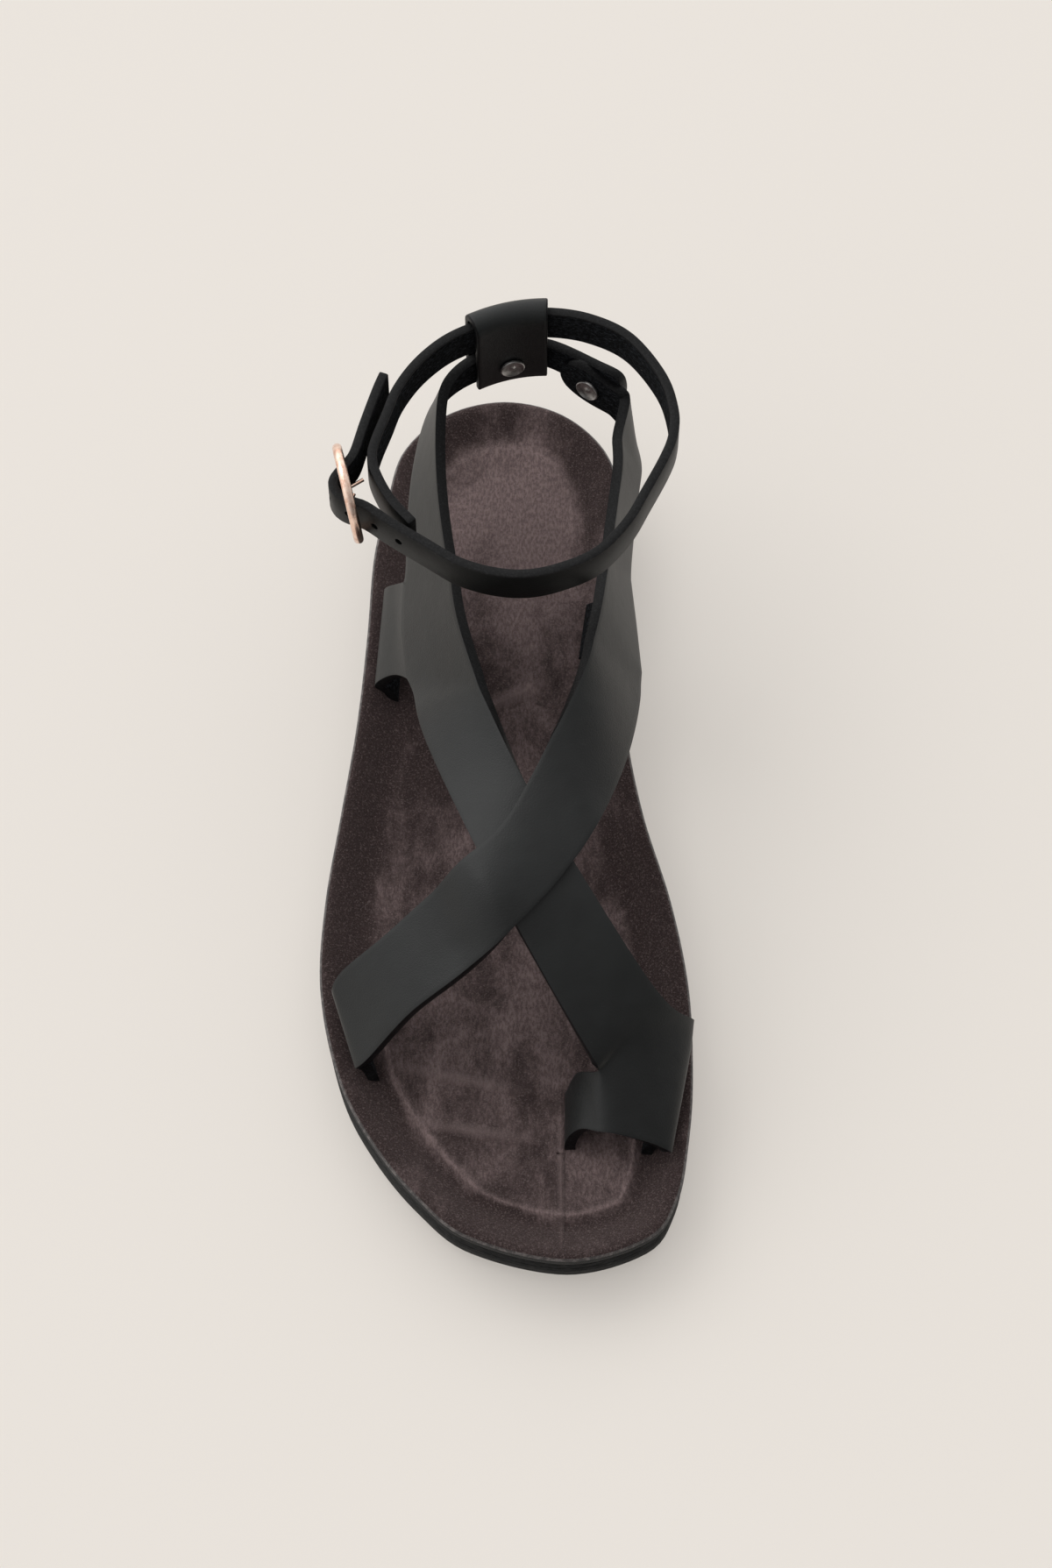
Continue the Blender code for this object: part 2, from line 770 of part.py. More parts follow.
def make_keeper(material):
    """Leather folded over the ankle strap and round the back of the upper."""
    centre, _back = keeper_frame()
    middle = KEEPER_RADIUS
    bend = KEEPER_SPREAD / 2
    profile = [(middle + bend, KEEPER_FOOT + (KEEPER_BEND - KEEPER_FOOT) * part)
               for part in (0.0, 0.5)]
    for step in range(7):
        angle = math.pi * step / 6
        profile.append((middle + bend * math.cos(angle), KEEPER_BEND + bend * math.sin(angle)))
    profile += [(middle - bend, KEEPER_FOOT + (KEEPER_BEND - KEEPER_FOOT) * part)
                for part in (0.5, 0.0)]
    points = []
    faces = []
    columns = 6
    for row, (radius, height) in enumerate(profile):
        for column in range(columns + 1):
            angle = (column / columns - 0.5) * KEEPER_WIDTH / middle + math.radians(KEEPER_TURN)
            points.append(Vector((centre.x + radius * math.sin(angle),
                                  centre.y + radius * math.cos(angle), height)))
            if row and column:
                last = row * (columns + 1) + column
                faces.append((last - 1, last, last - columns - 1, last - columns - 2))
    return thickened("heel_keeper", points, faces, KEEPER_LEATHER, material)


def rivet_profile(low, high):
    """Shank with a domed head at each end, its grip from low to high."""
    return (
        (0.0, low - RIVET_DOME),
        (RIVET_HEAD * 0.6, low - RIVET_DOME * 0.85),
        (RIVET_HEAD, low - RIVET_DOME * 0.35),
        (RIVET_HEAD, low),
        (RIVET_SHANK, low),
        (RIVET_SHANK, high),
        (RIVET_HEAD, high),
        (RIVET_HEAD, high + RIVET_DOME * 0.35),
        (RIVET_HEAD * 0.6, high + RIVET_DOME * 0.85),
        (0.0, high + RIVET_DOME),
    )


def bore(part, centre, axis):
    """Clearance hole for a rivet's shank."""
    radius = RIVET_SHANK + GAP
    tool = turned("bore_tool", ((0.0, -0.008), (radius, -0.008), (radius, 0.008), (0.0, 0.008)),
                  centre, axis, 16)
    return outward(cut(part, tool, "DIFFERENCE"))


def tube(name, line, section, closed, material):
    """Sweep of a (sideways, upwards) section along a line in the XY plane."""
    count = len(line)
    points = []
    faces = []
    around = len(section)
    for index, point in enumerate(line):
        before = line[index - 1] if index or closed else point
        after = line[(index + 1) % count] if index + 1 < count or closed else point
        run = (after - before).normalized()
        side = Vector((run.y, -run.x, 0.0))
        points += [point + side * across + Vector((0.0, 0.0, up)) for across, up in section]
    for index in range(count if closed else count - 1):
        for step in range(around):
            after = (step + 1) % around
            following = (index + 1) % count
            faces.append((index * around + step, index * around + after,
                          following * around + after, following * around + step))
    if not closed:
        faces.append(tuple(range(around)))
        faces.append(tuple((count - 1) * around + step for step in range(around)))
    return outward(part_from(name, points, faces, material))


def buckle_frame_matrix():
    """Places the buckle: its face looks along X, its bar stands along Z."""
    facing = Vector(BUCKLE_FACING).normalized()
    run = Vector((0.0, 0.0, 1.0)).cross(facing).normalized()
    rise = facing.cross(run)
    turn = Matrix((run, rise, facing)).transposed().to_4x4()
    bend = ANKLE_PATH[BUCKLE_ROW]
    inside = ANKLE_LEATHER + BUCKLE_BAR + 2 * PRONG_WIRE + 1.6 * GAP
    centre = ankle_centre() + Vector((bend[0] * ANKLE_SPAN + inside,
                                      bend[1] * ANKLE_SPAN + BUCKLE_BEHIND,
                                      -BUCKLE_LOW * ANKLE_HEIGHT))
    return Matrix.Translation(centre) @ turn


def circle(radius, count, start=0.0, sweep=2 * math.pi, ends=0):
    """Points of an arc in the XY plane."""
    return [Vector((radius * math.cos(start + sweep * step / (count - ends)),
                    radius * math.sin(start + sweep * step / (count - ends)), 0.0))
            for step in range(count)]


def moved(part, matrix):
    """Write a matrix into the part's own points."""
    part.data.transform(matrix)
    return outward(part)


def make_buckle(material):
    """Round frame with its middle bar."""
    rounded = [(BUCKLE_RIM / 2 * across, BUCKLE_DEPTH / 2 * up)
               for across, up in ((1, -0.5), (1, 0.5), (0.6, 1), (-0.6, 1),
                                  (-1, 0.5), (-1, -0.5), (-0.6, -1), (0.6, -1))]
    middle = BUCKLE_RADIUS - BUCKLE_RIM / 2
    frame = tube("buckle_frame", circle(middle, 32), rounded, True, material)
    bar = turned("bar_tool", ((0.0, -middle), (BUCKLE_BAR, -middle), (BUCKLE_BAR, middle),
                              (0.0, middle)), Vector((0.0, 0.0, 0.0)), Vector((0.0, 1.0, 0.0)), 12)
    cut(frame, bar, "UNION")
    return moved(frame, buckle_frame_matrix())


def make_prong(material):
    """Wire hooked round the buckle's bar and hanging behind it."""
    hook = BUCKLE_BAR + GAP + PRONG_WIRE
    line = circle(hook, 9, math.radians(-70), math.radians(260), 1)
    line.append(line[-1] + Vector(PRONG_REACH))
    section = [(PRONG_WIRE * math.cos(math.pi * step / 3), PRONG_WIRE * math.sin(math.pi * step / 3))
               for step in range(6)]
    wire = tube("buckle_prong", line, section, False, material)
    upright = Matrix.Rotation(math.radians(90), 4, "X")
    return moved(wire, buckle_frame_matrix() @ upright)


def make_all():
    """Build every piece of the shoe."""
    for item in list(bpy.data.objects):
        bpy.data.objects.remove(item)
    leather = material_of("black_leather", (0.030, 0.030, 0.031), 0.55, 0.0)
    suede = material_of("brown_suede", (0.070, 0.048, 0.045), 0.95, 0.0)
    wall = material_of("black_foam", (0.022, 0.021, 0.021), 0.80, 0.0)
    tread = material_of("black_rubber", (0.018, 0.018, 0.018), 0.75, 0.0)
    silver = material_of("silver", (0.62, 0.60, 0.58), 0.30, 1.0)
    rose = material_of("rose_gold", (0.80, 0.50, 0.38), 0.25, 1.0)

    make_outsole(tread)
    make_midsole(wall)
    footbed = make_footbed(suede)
    upper, seat, facing = make_upper(leather)
    cut(footbed, grown(upper, GAP * 1.5), "DIFFERENCE")
    outward(footbed)
    make_ankle_strap(leather)
    keeper = make_keeper(leather)
    make_buckle(rose)
    make_prong(rose)

    centre, back = keeper_frame()
    outer = KEEPER_RADIUS + KEEPER_SPREAD / 2
    inner = KEEPER_RADIUS - KEEPER_SPREAD / 2
    bore(keeper, centre + back * outer, back)
    bore(keeper, centre + back * inner, back)
    bore(upper, centre + back * KEEPER_RADIUS, back)
    turned("keeper_rivet", rivet_profile(inner - GAP, outer + GAP), centre, back, 14, silver)
    bore(upper, seat, facing)
    turned("heel_rivet", rivet_profile(WELD - 2 * LEATHER - GAP, GAP), seat, facing, 14, silver)


make_all()
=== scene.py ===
"""Ankle strap sandal, one right shoe: the dressed model on a pale studio floor.

Metres with +Z up. The origin is the middle of the heel's ground contact, the
toe points to -Y and the inner side of the foot is +X. The leather, sole and
metal follow the same tables of shares as the plain solids, at a finer mesh.
"""
import json
import math

import bmesh
import bpy
from mathutils import Matrix, Vector
from mathutils.bvhtree import BVHTree

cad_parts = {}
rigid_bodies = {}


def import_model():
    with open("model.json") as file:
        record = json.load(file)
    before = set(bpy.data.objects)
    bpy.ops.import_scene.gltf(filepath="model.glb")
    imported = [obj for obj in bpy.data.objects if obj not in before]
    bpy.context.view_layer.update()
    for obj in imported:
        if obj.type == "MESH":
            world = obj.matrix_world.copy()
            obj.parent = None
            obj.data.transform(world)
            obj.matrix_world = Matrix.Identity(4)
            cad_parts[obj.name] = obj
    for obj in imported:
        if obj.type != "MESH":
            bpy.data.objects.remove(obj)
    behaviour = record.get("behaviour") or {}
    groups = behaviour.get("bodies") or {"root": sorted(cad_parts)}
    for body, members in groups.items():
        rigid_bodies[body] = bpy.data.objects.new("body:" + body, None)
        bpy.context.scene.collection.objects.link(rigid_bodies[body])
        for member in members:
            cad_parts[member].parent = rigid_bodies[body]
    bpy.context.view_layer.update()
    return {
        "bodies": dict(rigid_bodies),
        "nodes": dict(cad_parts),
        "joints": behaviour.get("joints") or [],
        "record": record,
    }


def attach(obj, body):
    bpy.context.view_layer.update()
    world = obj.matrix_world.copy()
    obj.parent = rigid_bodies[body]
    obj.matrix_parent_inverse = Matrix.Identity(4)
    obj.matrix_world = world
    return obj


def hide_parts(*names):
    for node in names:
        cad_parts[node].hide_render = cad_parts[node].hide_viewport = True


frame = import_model()

# Sizes that only the dressed model has
EDGE_ROUND = 0.00045
RIDGE_INSET = 0.0142
RIDGE = 0.0007
RIB_PITCH = 0.0011
RIB = 0.00016
HEEL_LIP = 0.0010

# Sizes of the shoe
LENGTH = 0.2545
BALL_WIDTH = 0.0968
HEEL_WIDTH = 0.066
INSTEP = 0.050
HEEL_STACK = 0.020
FORE_STACK = 0.0125
TOE_LIFT = 0.0035
TOE_SPRING = 0.006
ARCH_RISE = 0.0025
ARCH_SUPPORT = 0.002
GAP = 0.0003

# Sizes of the sole layers
FOOTBED = 0.0045
FOOTBED_EDGE = 0.0028
RIM = 0.0035
OUTSOLE = 0.0035
TREAD_PITCH = 0.011
TREAD_GROOVE = 0.0030
TREAD_DEPTH = 0.0012
SIDE_RIB = 0.0005

# Sizes of the leather
LEATHER = 0.0028
WELD = 0.0004
LAY = 0.016
LAY_FLOOR = 0.045
ANKLE_LEATHER = 0.0026
ANKLE_HEIGHT = 0.011
ANKLE_RISE = 0.067
ANKLE_TOP = HEEL_STACK + ANKLE_RISE
ANKLE_SPAN = 0.080
HOLE_RADIUS = 0.0011
HOLE_PITCH = 0.0078
HOLES = 6
HOLES_START = 0.0613

# Sizes of the heel keeper, bent about a point ahead of it and turned sideways.
# Its middle line stands at a share of the half width and of the length, and
# the ankle ring's centre lies ahead of that by shares of the ring's span.
KEEPER_BACK = (0.0392, 0.0545)
KEEPER_TURN = -14.0
KEEPER_WIDTH = 0.0212
KEEPER_LEATHER = 0.0018
KEEPER_RADIUS = 0.0426
KEEPER_SPREAD = 0.0076
KEEPER_RIVET = HEEL_STACK + 0.96 * INSTEP
KEEPER_BELOW = 0.0068
KEEPER_FOOT = KEEPER_RIVET - KEEPER_BELOW
KEEPER_BEND = ANKLE_TOP - 0.0007
ANKLE_AHEAD = (0.0751, -0.4766)

# Sizes of the metal parts. The heel rivet's place is along, aside and above on
# strap A. The buckle's bar stands inside the ankle strap's outermost row.
RIVET_HEAD = 0.0034
RIVET_SHANK = 0.0015
RIVET_DOME = 0.0009
HEEL_RIVET = (0.0857, 0.712, 0.90)
BUCKLE_ROW = 31
BUCKLE_BEHIND = 0.0009
BUCKLE_LOW = 0.545
BUCKLE_FACING = (-0.972, -0.220, -0.080)
BUCKLE_RADIUS = 0.0134
BUCKLE_RIM = 0.0025
BUCKLE_DEPTH = 0.0026
BUCKLE_BAR = 0.0008
PRONG_WIRE = 0.0005
PRONG_REACH = (-0.0015, -0.0045, 0.0)

# Fineness of the mesh
RING_POINTS = 240
SHEET_ROUNDS = 4
ANKLE_STEPS = 260

# Outline of the sole: along, then aside on the lateral and the medial side,
# both as shares of half the ball width
OUTLINE = (
    (0.200, -0.750, 0.688),
    (0.300, -0.780, 0.672),
    (0.400, -0.829, 0.685),
    (0.500, -0.908, 0.775),
    (0.600, -0.984, 0.927),
    (0.700, -0.998, 1.015),
    (0.800, -0.885, 1.025),
    (0.870, -0.701, 0.994),
    (0.930, -0.460, 0.931),
    (0.975, -0.180, 0.775),
)
TIP_ASIDE = 0.34

# Footbed surface from the rim inwards: inset from the outline, lift above the bed
FOOTBED_TOP = (
    (0.0003, RIM - 0.0008),
    (0.0009, RIM - 0.0002),
    (0.0020, RIM),
    (0.0040, RIM - 0.0006),
    (0.0068, RIM * 0.45),
    (0.0095, RIM * 0.08),
    (0.0130, 0.0),
)
FOOTBED_UNDER = (
    (0.0003, RIM - FOOTBED_EDGE),
    (0.0032, RIM - FOOTBED_EDGE),
    (0.0042, -FOOTBED),
)

# Each strap row runs from its upper edge to its lower edge:
# along, aside, above of the upper edge, then the same of the lower edge
STRAP_A = (
    (0.745, 0.899, -0.04, 0.798, 0.880, -0.04),
    (0.745, 0.907, 0.10, 0.796, 0.893, 0.09),
    (0.750, 1.023, 0.25, 0.786, 1.001, 0.25),
    (0.754, 0.937, 0.41, 0.807, 0.776, 0.39),
    (0.746, 0.839, 0.53, 0.821, 0.524, 0.45),
    (0.730, 0.747, 0.63, 0.802, 0.436, 0.55),
    (0.683, 0.545, 0.83, 0.729, 0.174, 0.79),
    (0.598, 0.256, 0.99, 0.666, -0.023, 0.94),
    (0.540, 0.082, 1.02, 0.592, -0.203, 0.92),
    (0.477, -0.080, 1.02, 0.478, -0.473, 0.72),
    (0.451, -0.148, 1.01, 0.419, -0.582, 0.57),
    (0.433, -0.185, 1.00, 0.388, -0.662, 0.47),
    (0.377, -0.306, 0.97, 0.323, -0.771, 0.42),
    (0.335, -0.371, 0.95, 0.276, -0.791, 0.46),
    (0.315, -0.401, 0.94, 0.257, -0.782, 0.50),
    (0.220, -0.528, 0.93, 0.180, -0.773, 0.60),
    (0.127, -0.546, 0.96, 0.105, -0.663, 0.68),
    (0.089, -0.474, 1.01, 0.080, -0.502, 0.80),
    (0.064, -0.252, 1.04, 0.064, -0.252, 0.85),
    (0.049, 0.064, 1.04, 0.049, 0.064, 0.85),
    (0.045, 0.376, 1.04, 0.045, 0.376, 0.85),
    (0.070, 0.781, 1.02, 0.072, 0.744, 0.81),
    (0.087, 0.988, 1.00, 0.089, 0.973, 0.80),
)
# Front edge of the toe loop beside the first five rows of strap A
TOE_EDGE = (
    (0.872, 0.798, -0.05),
    (0.874, 0.818, 0.06),
    (0.885, 0.897, 0.13),
    (0.882, 0.793, 0.22),
    (0.877, 0.584, 0.30),
)
TOE_LOOP = (
    (0.817, 0.452, 0.38, 0.873, 0.488, 0.28),
    (0.810, 0.384, 0.27, 0.866, 0.406, 0.22),
    (0.816, 0.335, 0.09, 0.869, 0.333, 0.08),
    (0.810, 0.336, -0.04, 0.863, 0.335, -0.05),
)
# Lateral tab of strap A, hanging from its rows 11, 12 and 13
TAB_A = (
    (0.367, -0.801, 0.30, 0.263, -0.877, 0.32),
    (0.362, -0.934, 0.13, 0.252, -0.978, 0.16),
    (0.363, -0.851, 0.04, 0.251, -0.900, 0.03),
    (0.363, -0.841, -0.05, 0.251, -0.888, -0.05),
)
TAB_A_ROWS = (11, 12, 13)
STRAP_B = (
    (0.709, -0.868, -0.05, 0.791, -0.727, -0.05),
    (0.708, -0.880, 0.08, 0.791, -0.744, 0.06),
    (0.720, -0.915, 0.25, 0.794, -0.789, 0.15),
    (0.707, -0.869, 0.37, 0.791, -0.709, 0.27),
    (0.691, -0.671, 0.57, 0.766, -0.486, 0.55),
    (0.661, -0.422, 0.75, 0.737, -0.192, 0.75),
    (0.617, -0.074, 1.01, 0.681, 0.188, 0.95),
    (0.565, 0.123, 1.07, 0.643, 0.352, 0.98),
    (0.516, 0.277, 1.10, 0.602, 0.496, 0.99),
    (0.446, 0.495, 1.08, 0.515, 0.707, 0.80),
    (0.407, 0.590, 1.04, 0.435, 0.869, 0.58),
    (0.392, 0.623, 1.02, 0.408, 0.914, 0.52),
    (0.365, 0.680, 0.99, 0.387, 0.948, 0.49),
    (0.334, 0.740, 0.96, 0.330, 0.984, 0.48),
    (0.305, 0.793, 0.93, 0.281, 0.996, 0.52),
    (0.288, 0.828, 0.93, 0.252, 1.031, 0.55),
    (0.218, 0.932, 0.92, 0.182, 1.109, 0.62),
    (0.171, 0.964, 0.93, 0.142, 1.110, 0.65),
    (0.112, 0.922, 0.98, 0.107, 0.923, 0.74),
    (0.090, 0.823, 1.00, 0.093, 0.837, 0.77),
    (0.070, 0.539, 1.02, 0.068, 0.542, 0.83),
)
# Medial tab of strap B, hanging from its rows 12, 13 and 14
TAB_B = (
    (0.365, 0.888, 0.29, 0.279, 0.949, 0.32),
    (0.334, 0.744, 0.12, 0.265, 0.821, 0.12),
    (0.320, 0.653, 0.00, 0.255, 0.755, 0.00),
    (0.320, 0.647, -0.05, 0.255, 0.749, -0.05),
)
TAB_B_ROWS = (12, 13, 14)

# Ankle strap, seen from above, from its inner end round the heel to its tip:
# aside and along from the ring's centre, as shares of the ring's span
ANKLE_PATH = (
    (-0.394, -0.331),
    (-0.469, -0.239),
    (-0.519, -0.139),
    (-0.534, -0.068),
    (-0.523, -0.005),
    (-0.489, 0.096),
    (-0.455, 0.195),
    (-0.392, 0.298),
    (-0.306, 0.386),
    (-0.211, 0.443),
    (-0.074, 0.494),
    (0.059, 0.509),
    (0.202, 0.483),
    (0.338, 0.405),
    (0.445, 0.250),
    (0.484, 0.110),
    (0.480, 0.010),
    (0.452, -0.075),
    (0.391, -0.200),
    (0.325, -0.325),
    (0.225, -0.440),
    (0.100, -0.503),
    (-0.016, -0.529),
    (-0.130, -0.519),
    (-0.243, -0.480),
    (-0.343, -0.414),
    (-0.461, -0.334),
    (-0.539, -0.275),
    (-0.576, -0.259),
    (-0.611, -0.244),
    (-0.640, -0.219),
    (-0.657, -0.182),
    (-0.653, -0.148),
    (-0.633, -0.115),
    (-0.611, -0.085),
    (-0.589, -0.046),
    (-0.560, 0.062),
    (-0.520, 0.195),
    (-0.498, 0.256),
)


def share(value, start, end):
    """Smooth step from 0 at start to 1 at end."""
    part = min(max((value - start) / (end - start), 0.0), 1.0)
    return part * part * (3.0 - 2.0 * part)


def station_of(y):
    """Share of the length, from the back of the heel, at y."""
    return (HEEL_WIDTH / 2 - y) / LENGTH


def half_width(station):
    """Half the width the straps are measured against."""
    return (HEEL_WIDTH + (BALL_WIDTH - HEEL_WIDTH) * share(station, 0.20, 0.65)) / 2


def bed_height(x, y):
    """Height of the footbed's surface inside its rim."""
    station = station_of(y)
    height = HEEL_STACK + (FORE_STACK - HEEL_STACK) * share(station, 0.25, 0.62)
    height += TOE_LIFT * max(station - 0.78, 0.0) ** 2 / 0.22 ** 2
    arch = share(station, 0.22, 0.40) * (1.0 - share(station, 0.46, 0.64))
    return height + ARCH_SUPPORT * arch * share(x / half_width(station), 0.1, 0.9)


def ground_height(y):
    """Height of the outsole's underside: flat heel and ball, arch, toe spring."""
    station = station_of(y)
    arch = share(station, 0.27, 0.40) * (1.0 - share(station, 0.50, 0.61))
    return ARCH_RISE * arch + TOE_SPRING * max(station - 0.80, 0.0) ** 2 / 0.20 ** 2


def place(along, aside, above):
    """Point given in shares of the length, the half width and the instep."""
    y = HEEL_WIDTH / 2 - along * LENGTH
    x = aside * half_width(along)
    return Vector((x, y, bed_height(x, y) + above * INSTEP))


def spline(points, steps, closed):
    """Smooth curve through the points, steps pieces between each two."""
    count = len(points)
    found = []
    for index in range(count if closed else count - 1):
        if closed:
            before, start = points[index - 1], points[index]
            end, after = points[(index + 1) % count], points[(index + 2) % count]
        else:
            start, end = points[index], points[index + 1]
            before = points[index - 1] if index else start * 2 - end
            after = points[index + 2] if index + 2 < count else end * 2 - start
        for step in range(steps):
            t = step / steps
            found.append(0.5 * (
                2 * start
                + (end - before) * t
                + (2 * before - 5 * start + 4 * end - after) * t ** 2
                + (3 * start - before - 3 * end + after) * t ** 3))
    if not closed:
        found.append(points[-1].copy())
    return found


def even(points, count):
    """The polyline cut into count equal pieces, without its last point."""
    reach = [0.0]
    for start, end in zip(points, points[1:]):
        reach.append(reach[-1] + (end - start).length)
    found = []
    place_at = 0
    for index in range(count):
        goal = reach[-1] * index / count
        while reach[place_at + 1] < goal:
            place_at += 1
        span = reach[place_at + 1] - reach[place_at]
        part = (goal - reach[place_at]) / span
        found.append(points[place_at].lerp(points[place_at + 1], part))
    return found


def outline_ring(count):
    """Outline of the sole, from the back of the heel round the lateral side."""
    radius = HEEL_WIDTH / 2
    arc = [Vector((-radius * math.sin(math.radians(a)), radius * math.cos(math.radians(a)), 0.0))
           for a in (0, 30, 60, 90)]
    lateral = [Vector((row[1] * BALL_WIDTH / 2, HEEL_WIDTH / 2 - row[0] * LENGTH, 0.0))
               for row in OUTLINE]
    medial = [Vector((row[2] * BALL_WIDTH / 2, HEEL_WIDTH / 2 - row[0] * LENGTH, 0.0))
              for row in OUTLINE]
    tip = Vector((TIP_ASIDE * BALL_WIDTH / 2, HEEL_WIDTH / 2 - LENGTH, 0.0))
    arc_back = [Vector((-p.x, p.y, 0.0)) for p in reversed(arc[1:])]
    points = arc + lateral + [tip] + medial[::-1] + arc_back
    steps = 12
    dense = spline(points, steps, True)
    toe = (len(arc) + len(lateral)) * steps
    return even(dense[:toe + 1], count // 2) + even(dense[toe:] + dense[:1], count // 2)


def inset_ring(ring, amount):
    """The ring moved inwards by the amount, square to itself."""
    count = len(ring)
    found = []
    for index, point in enumerate(ring):
        run = (ring[(index + 1) % count] - ring[index - 1]).normalized()
        found.append(point + Vector((-run.y, run.x, 0.0)) * amount)
    return found


def narrowed_ring(ring, part):
    """The ring drawn towards the middle line of the foot."""
    count = len(ring)
    found = []
    for index, point in enumerate(ring):
        other = ring[(count - index) % count]
        middle = (point + other) / 2
        middle.y = min(max(middle.y, -LENGTH + HEEL_WIDTH), 0.0)
        found.append(point.lerp(middle, part))
    return found


def raised(ring, height):
    """The ring with each point at height(x, y)."""
    return [Vector((p.x, p.y, height(p.x, p.y))) for p in ring]


def part_from(name, points, faces, material=None):
    """A linked object from points and faces."""
    mesh = bpy.data.meshes.new(name)
    mesh.from_pydata([tuple(p) for p in points], [], faces)
    found = bpy.data.objects.new(name, mesh)
    bpy.context.scene.collection.objects.link(found)
    if material:
        mesh.materials.append(material)
    return found


def outward(part):
    """Turn the faces of a closed part outwards."""
    form = bmesh.new()
    form.from_mesh(part.data)
    bmesh.ops.remove_doubles(form, verts=form.verts, dist=0.00002)
    bmesh.ops.recalc_face_normals(form, faces=form.faces)
    form.to_mesh(part.data)
    form.free()
    return part


def apply_modifiers(part):
    """Put the result of the part's modifiers into its own mesh."""
    graph = bpy.context.evaluated_depsgraph_get()
    graph.update()
    made = bpy.data.meshes.new_from_object(part.evaluated_get(graph))
    part.modifiers.clear()
    old = part.data
    part.data = made
    bpy.data.meshes.remove(old)
    return part


def cut(part, tool, operation):
    """Join to or cut from the part, and remove the tool."""
    change = part.modifiers.new("cut", "BOOLEAN")
    change.operation = operation
    change.solver = "EXACT"
    change.object = tool
    tool.hide_render = True
    tool.display_type = "WIRE"
    apply_modifiers(part)
    bpy.data.objects.remove(tool)
    return part


def loft(name, rings, material):
    """Closed solid through the rings, its ends closed across the foot."""
    count = len(rings[0])
    points = [p for ring in rings for p in ring]
    faces = []
    for level in range(len(rings) - 1):
        for index in range(count):
            after = (index + 1) % count
            faces.append((level * count + index, level * count + after,
                          (level + 1) * count + after, (level + 1) * count + index))
    for level in (0, len(rings) - 1):
        first = level * count
        for index in range(1, count // 2 - 1):
            faces.append((first + index, first + index + 1,
                          first + count - index - 1, first + count - index))
        faces.append((first, first + 1, first + count - 1))
        tip = first + count // 2
        faces.append((tip, tip + 1, tip - 1))
    return outward(part_from(name, points, faces, material))


def make_outsole(material):
    """Walking sole with its tread grooves."""
    outline = outline_ring(RING_POINTS)

    rings = []
    for inset, lift in ((0.0011, OUTSOLE), (0.0008, OUTSOLE * 0.55), (0.0011, 0.0010), (0.0020, 0.0)):
        rings.append(raised(inset_ring(outline, inset), lambda x, y: ground_height(y) + lift))
    sole = loft("outsole", rings, material)
    points = []
    faces = []
    box = ((0, 1, 2, 3), (7, 6, 5, 4), (0, 4, 5, 1), (1, 5, 6, 2), (2, 6, 7, 3), (3, 7, 4, 0))
    for index in range(-3, 23):
        y = TREAD_PITCH / 2 - TREAD_PITCH * index
        near, far = y + TREAD_GROOVE / 2, y - TREAD_GROOVE / 2
        first = len(points)
        for z_near, z_far in ((-0.002, -0.002),
                              (ground_height(near) + TREAD_DEPTH, ground_height(far) + TREAD_DEPTH)):
            points += [Vector((-0.06, near, z_near)), Vector((0.06, near, z_near)),
                       Vector((0.06, far, z_far)), Vector((-0.06, far, z_far))]
        faces += [tuple(first + corner for corner in face) for face in box]
    cut(sole, outward(part_from("tread_tool", points, faces)), "DIFFERENCE")
    return sole


def edge_pairs(table):
    """Upper and lower edge points of a table of rows."""
    return [(place(*row[:3]), place(*row[3:])) for row in table]


def tab_grid(strap, rows, table):
    """Grid of a tab, its first row on the strap's lower edge."""
    grid = [[strap[row][-1] for row in rows]]
    for front, rear in edge_pairs(table):
        grid.append([front, (front + rear) / 2, rear])
    return grid


def grids_a():
    """Grids of strap A, its toe loop and its lateral tab."""
    strap = edge_pairs(STRAP_A)
    beside = [(strap[index][-1], place(*edge)) for index, edge in enumerate(TOE_EDGE)]
    return [strap, beside + edge_pairs(TOE_LOOP), tab_grid(strap, TAB_A_ROWS, TAB_A)]


def grids_b():
    """Grids of strap B and its medial tab."""
    strap = edge_pairs(STRAP_B)
    return [strap, tab_grid(strap, TAB_B_ROWS, TAB_B)]


def cage_of(grids):
    """Points and faces of the grids, with shared points used once."""
    points = []
    faces = []
    index = {}

    def number(point):
        key = tuple(round(value, 7) for value in point)
        if key not in index:
            index[key] = len(points)
            points.append(point.copy())
        return index[key]

    for grid in grids:
        for row, after in zip(grid, grid[1:]):
            for column in range(len(row) - 1):
                faces.append((number(row[column]), number(row[column + 1]),
                              number(after[column + 1]), number(after[column])))
    return points, faces


def smoothed(points, faces, rounds):
    """The cage's smooth surface as points and faces."""
    sheet = part_from("sheet", points, faces)
    change = sheet.modifiers.new("smooth", "SUBSURF")
    change.levels = round(rounds)
    change.render_levels = round(rounds)
    change.use_limit_surface = True
    change.boundary_smooth = "ALL"
    apply_modifiers(sheet)
    found = [vertex.co.copy() for vertex in sheet.data.vertices]
    shape = [tuple(face.vertices) for face in sheet.data.polygons]
    bpy.data.objects.remove(sheet)
    return found, shape


def fitted_sheet(grids, loose, rounds):
    """Smooth surface through all the cage's points but the loose corners."""
    points, faces = cage_of(grids)
    free = {index for index, point in enumerate(points)
            if any((point - corner).length < 1e-6 for corner in loose)}
    control = [point.copy() for point in points]
    for _ in range(6):
        surface, _shape = smoothed(control, faces, 1)
        for index, point in enumerate(points):
            if index not in free:
                control[index] += (point - surface[index]) * 0.8
    return smoothed(control, faces, rounds)


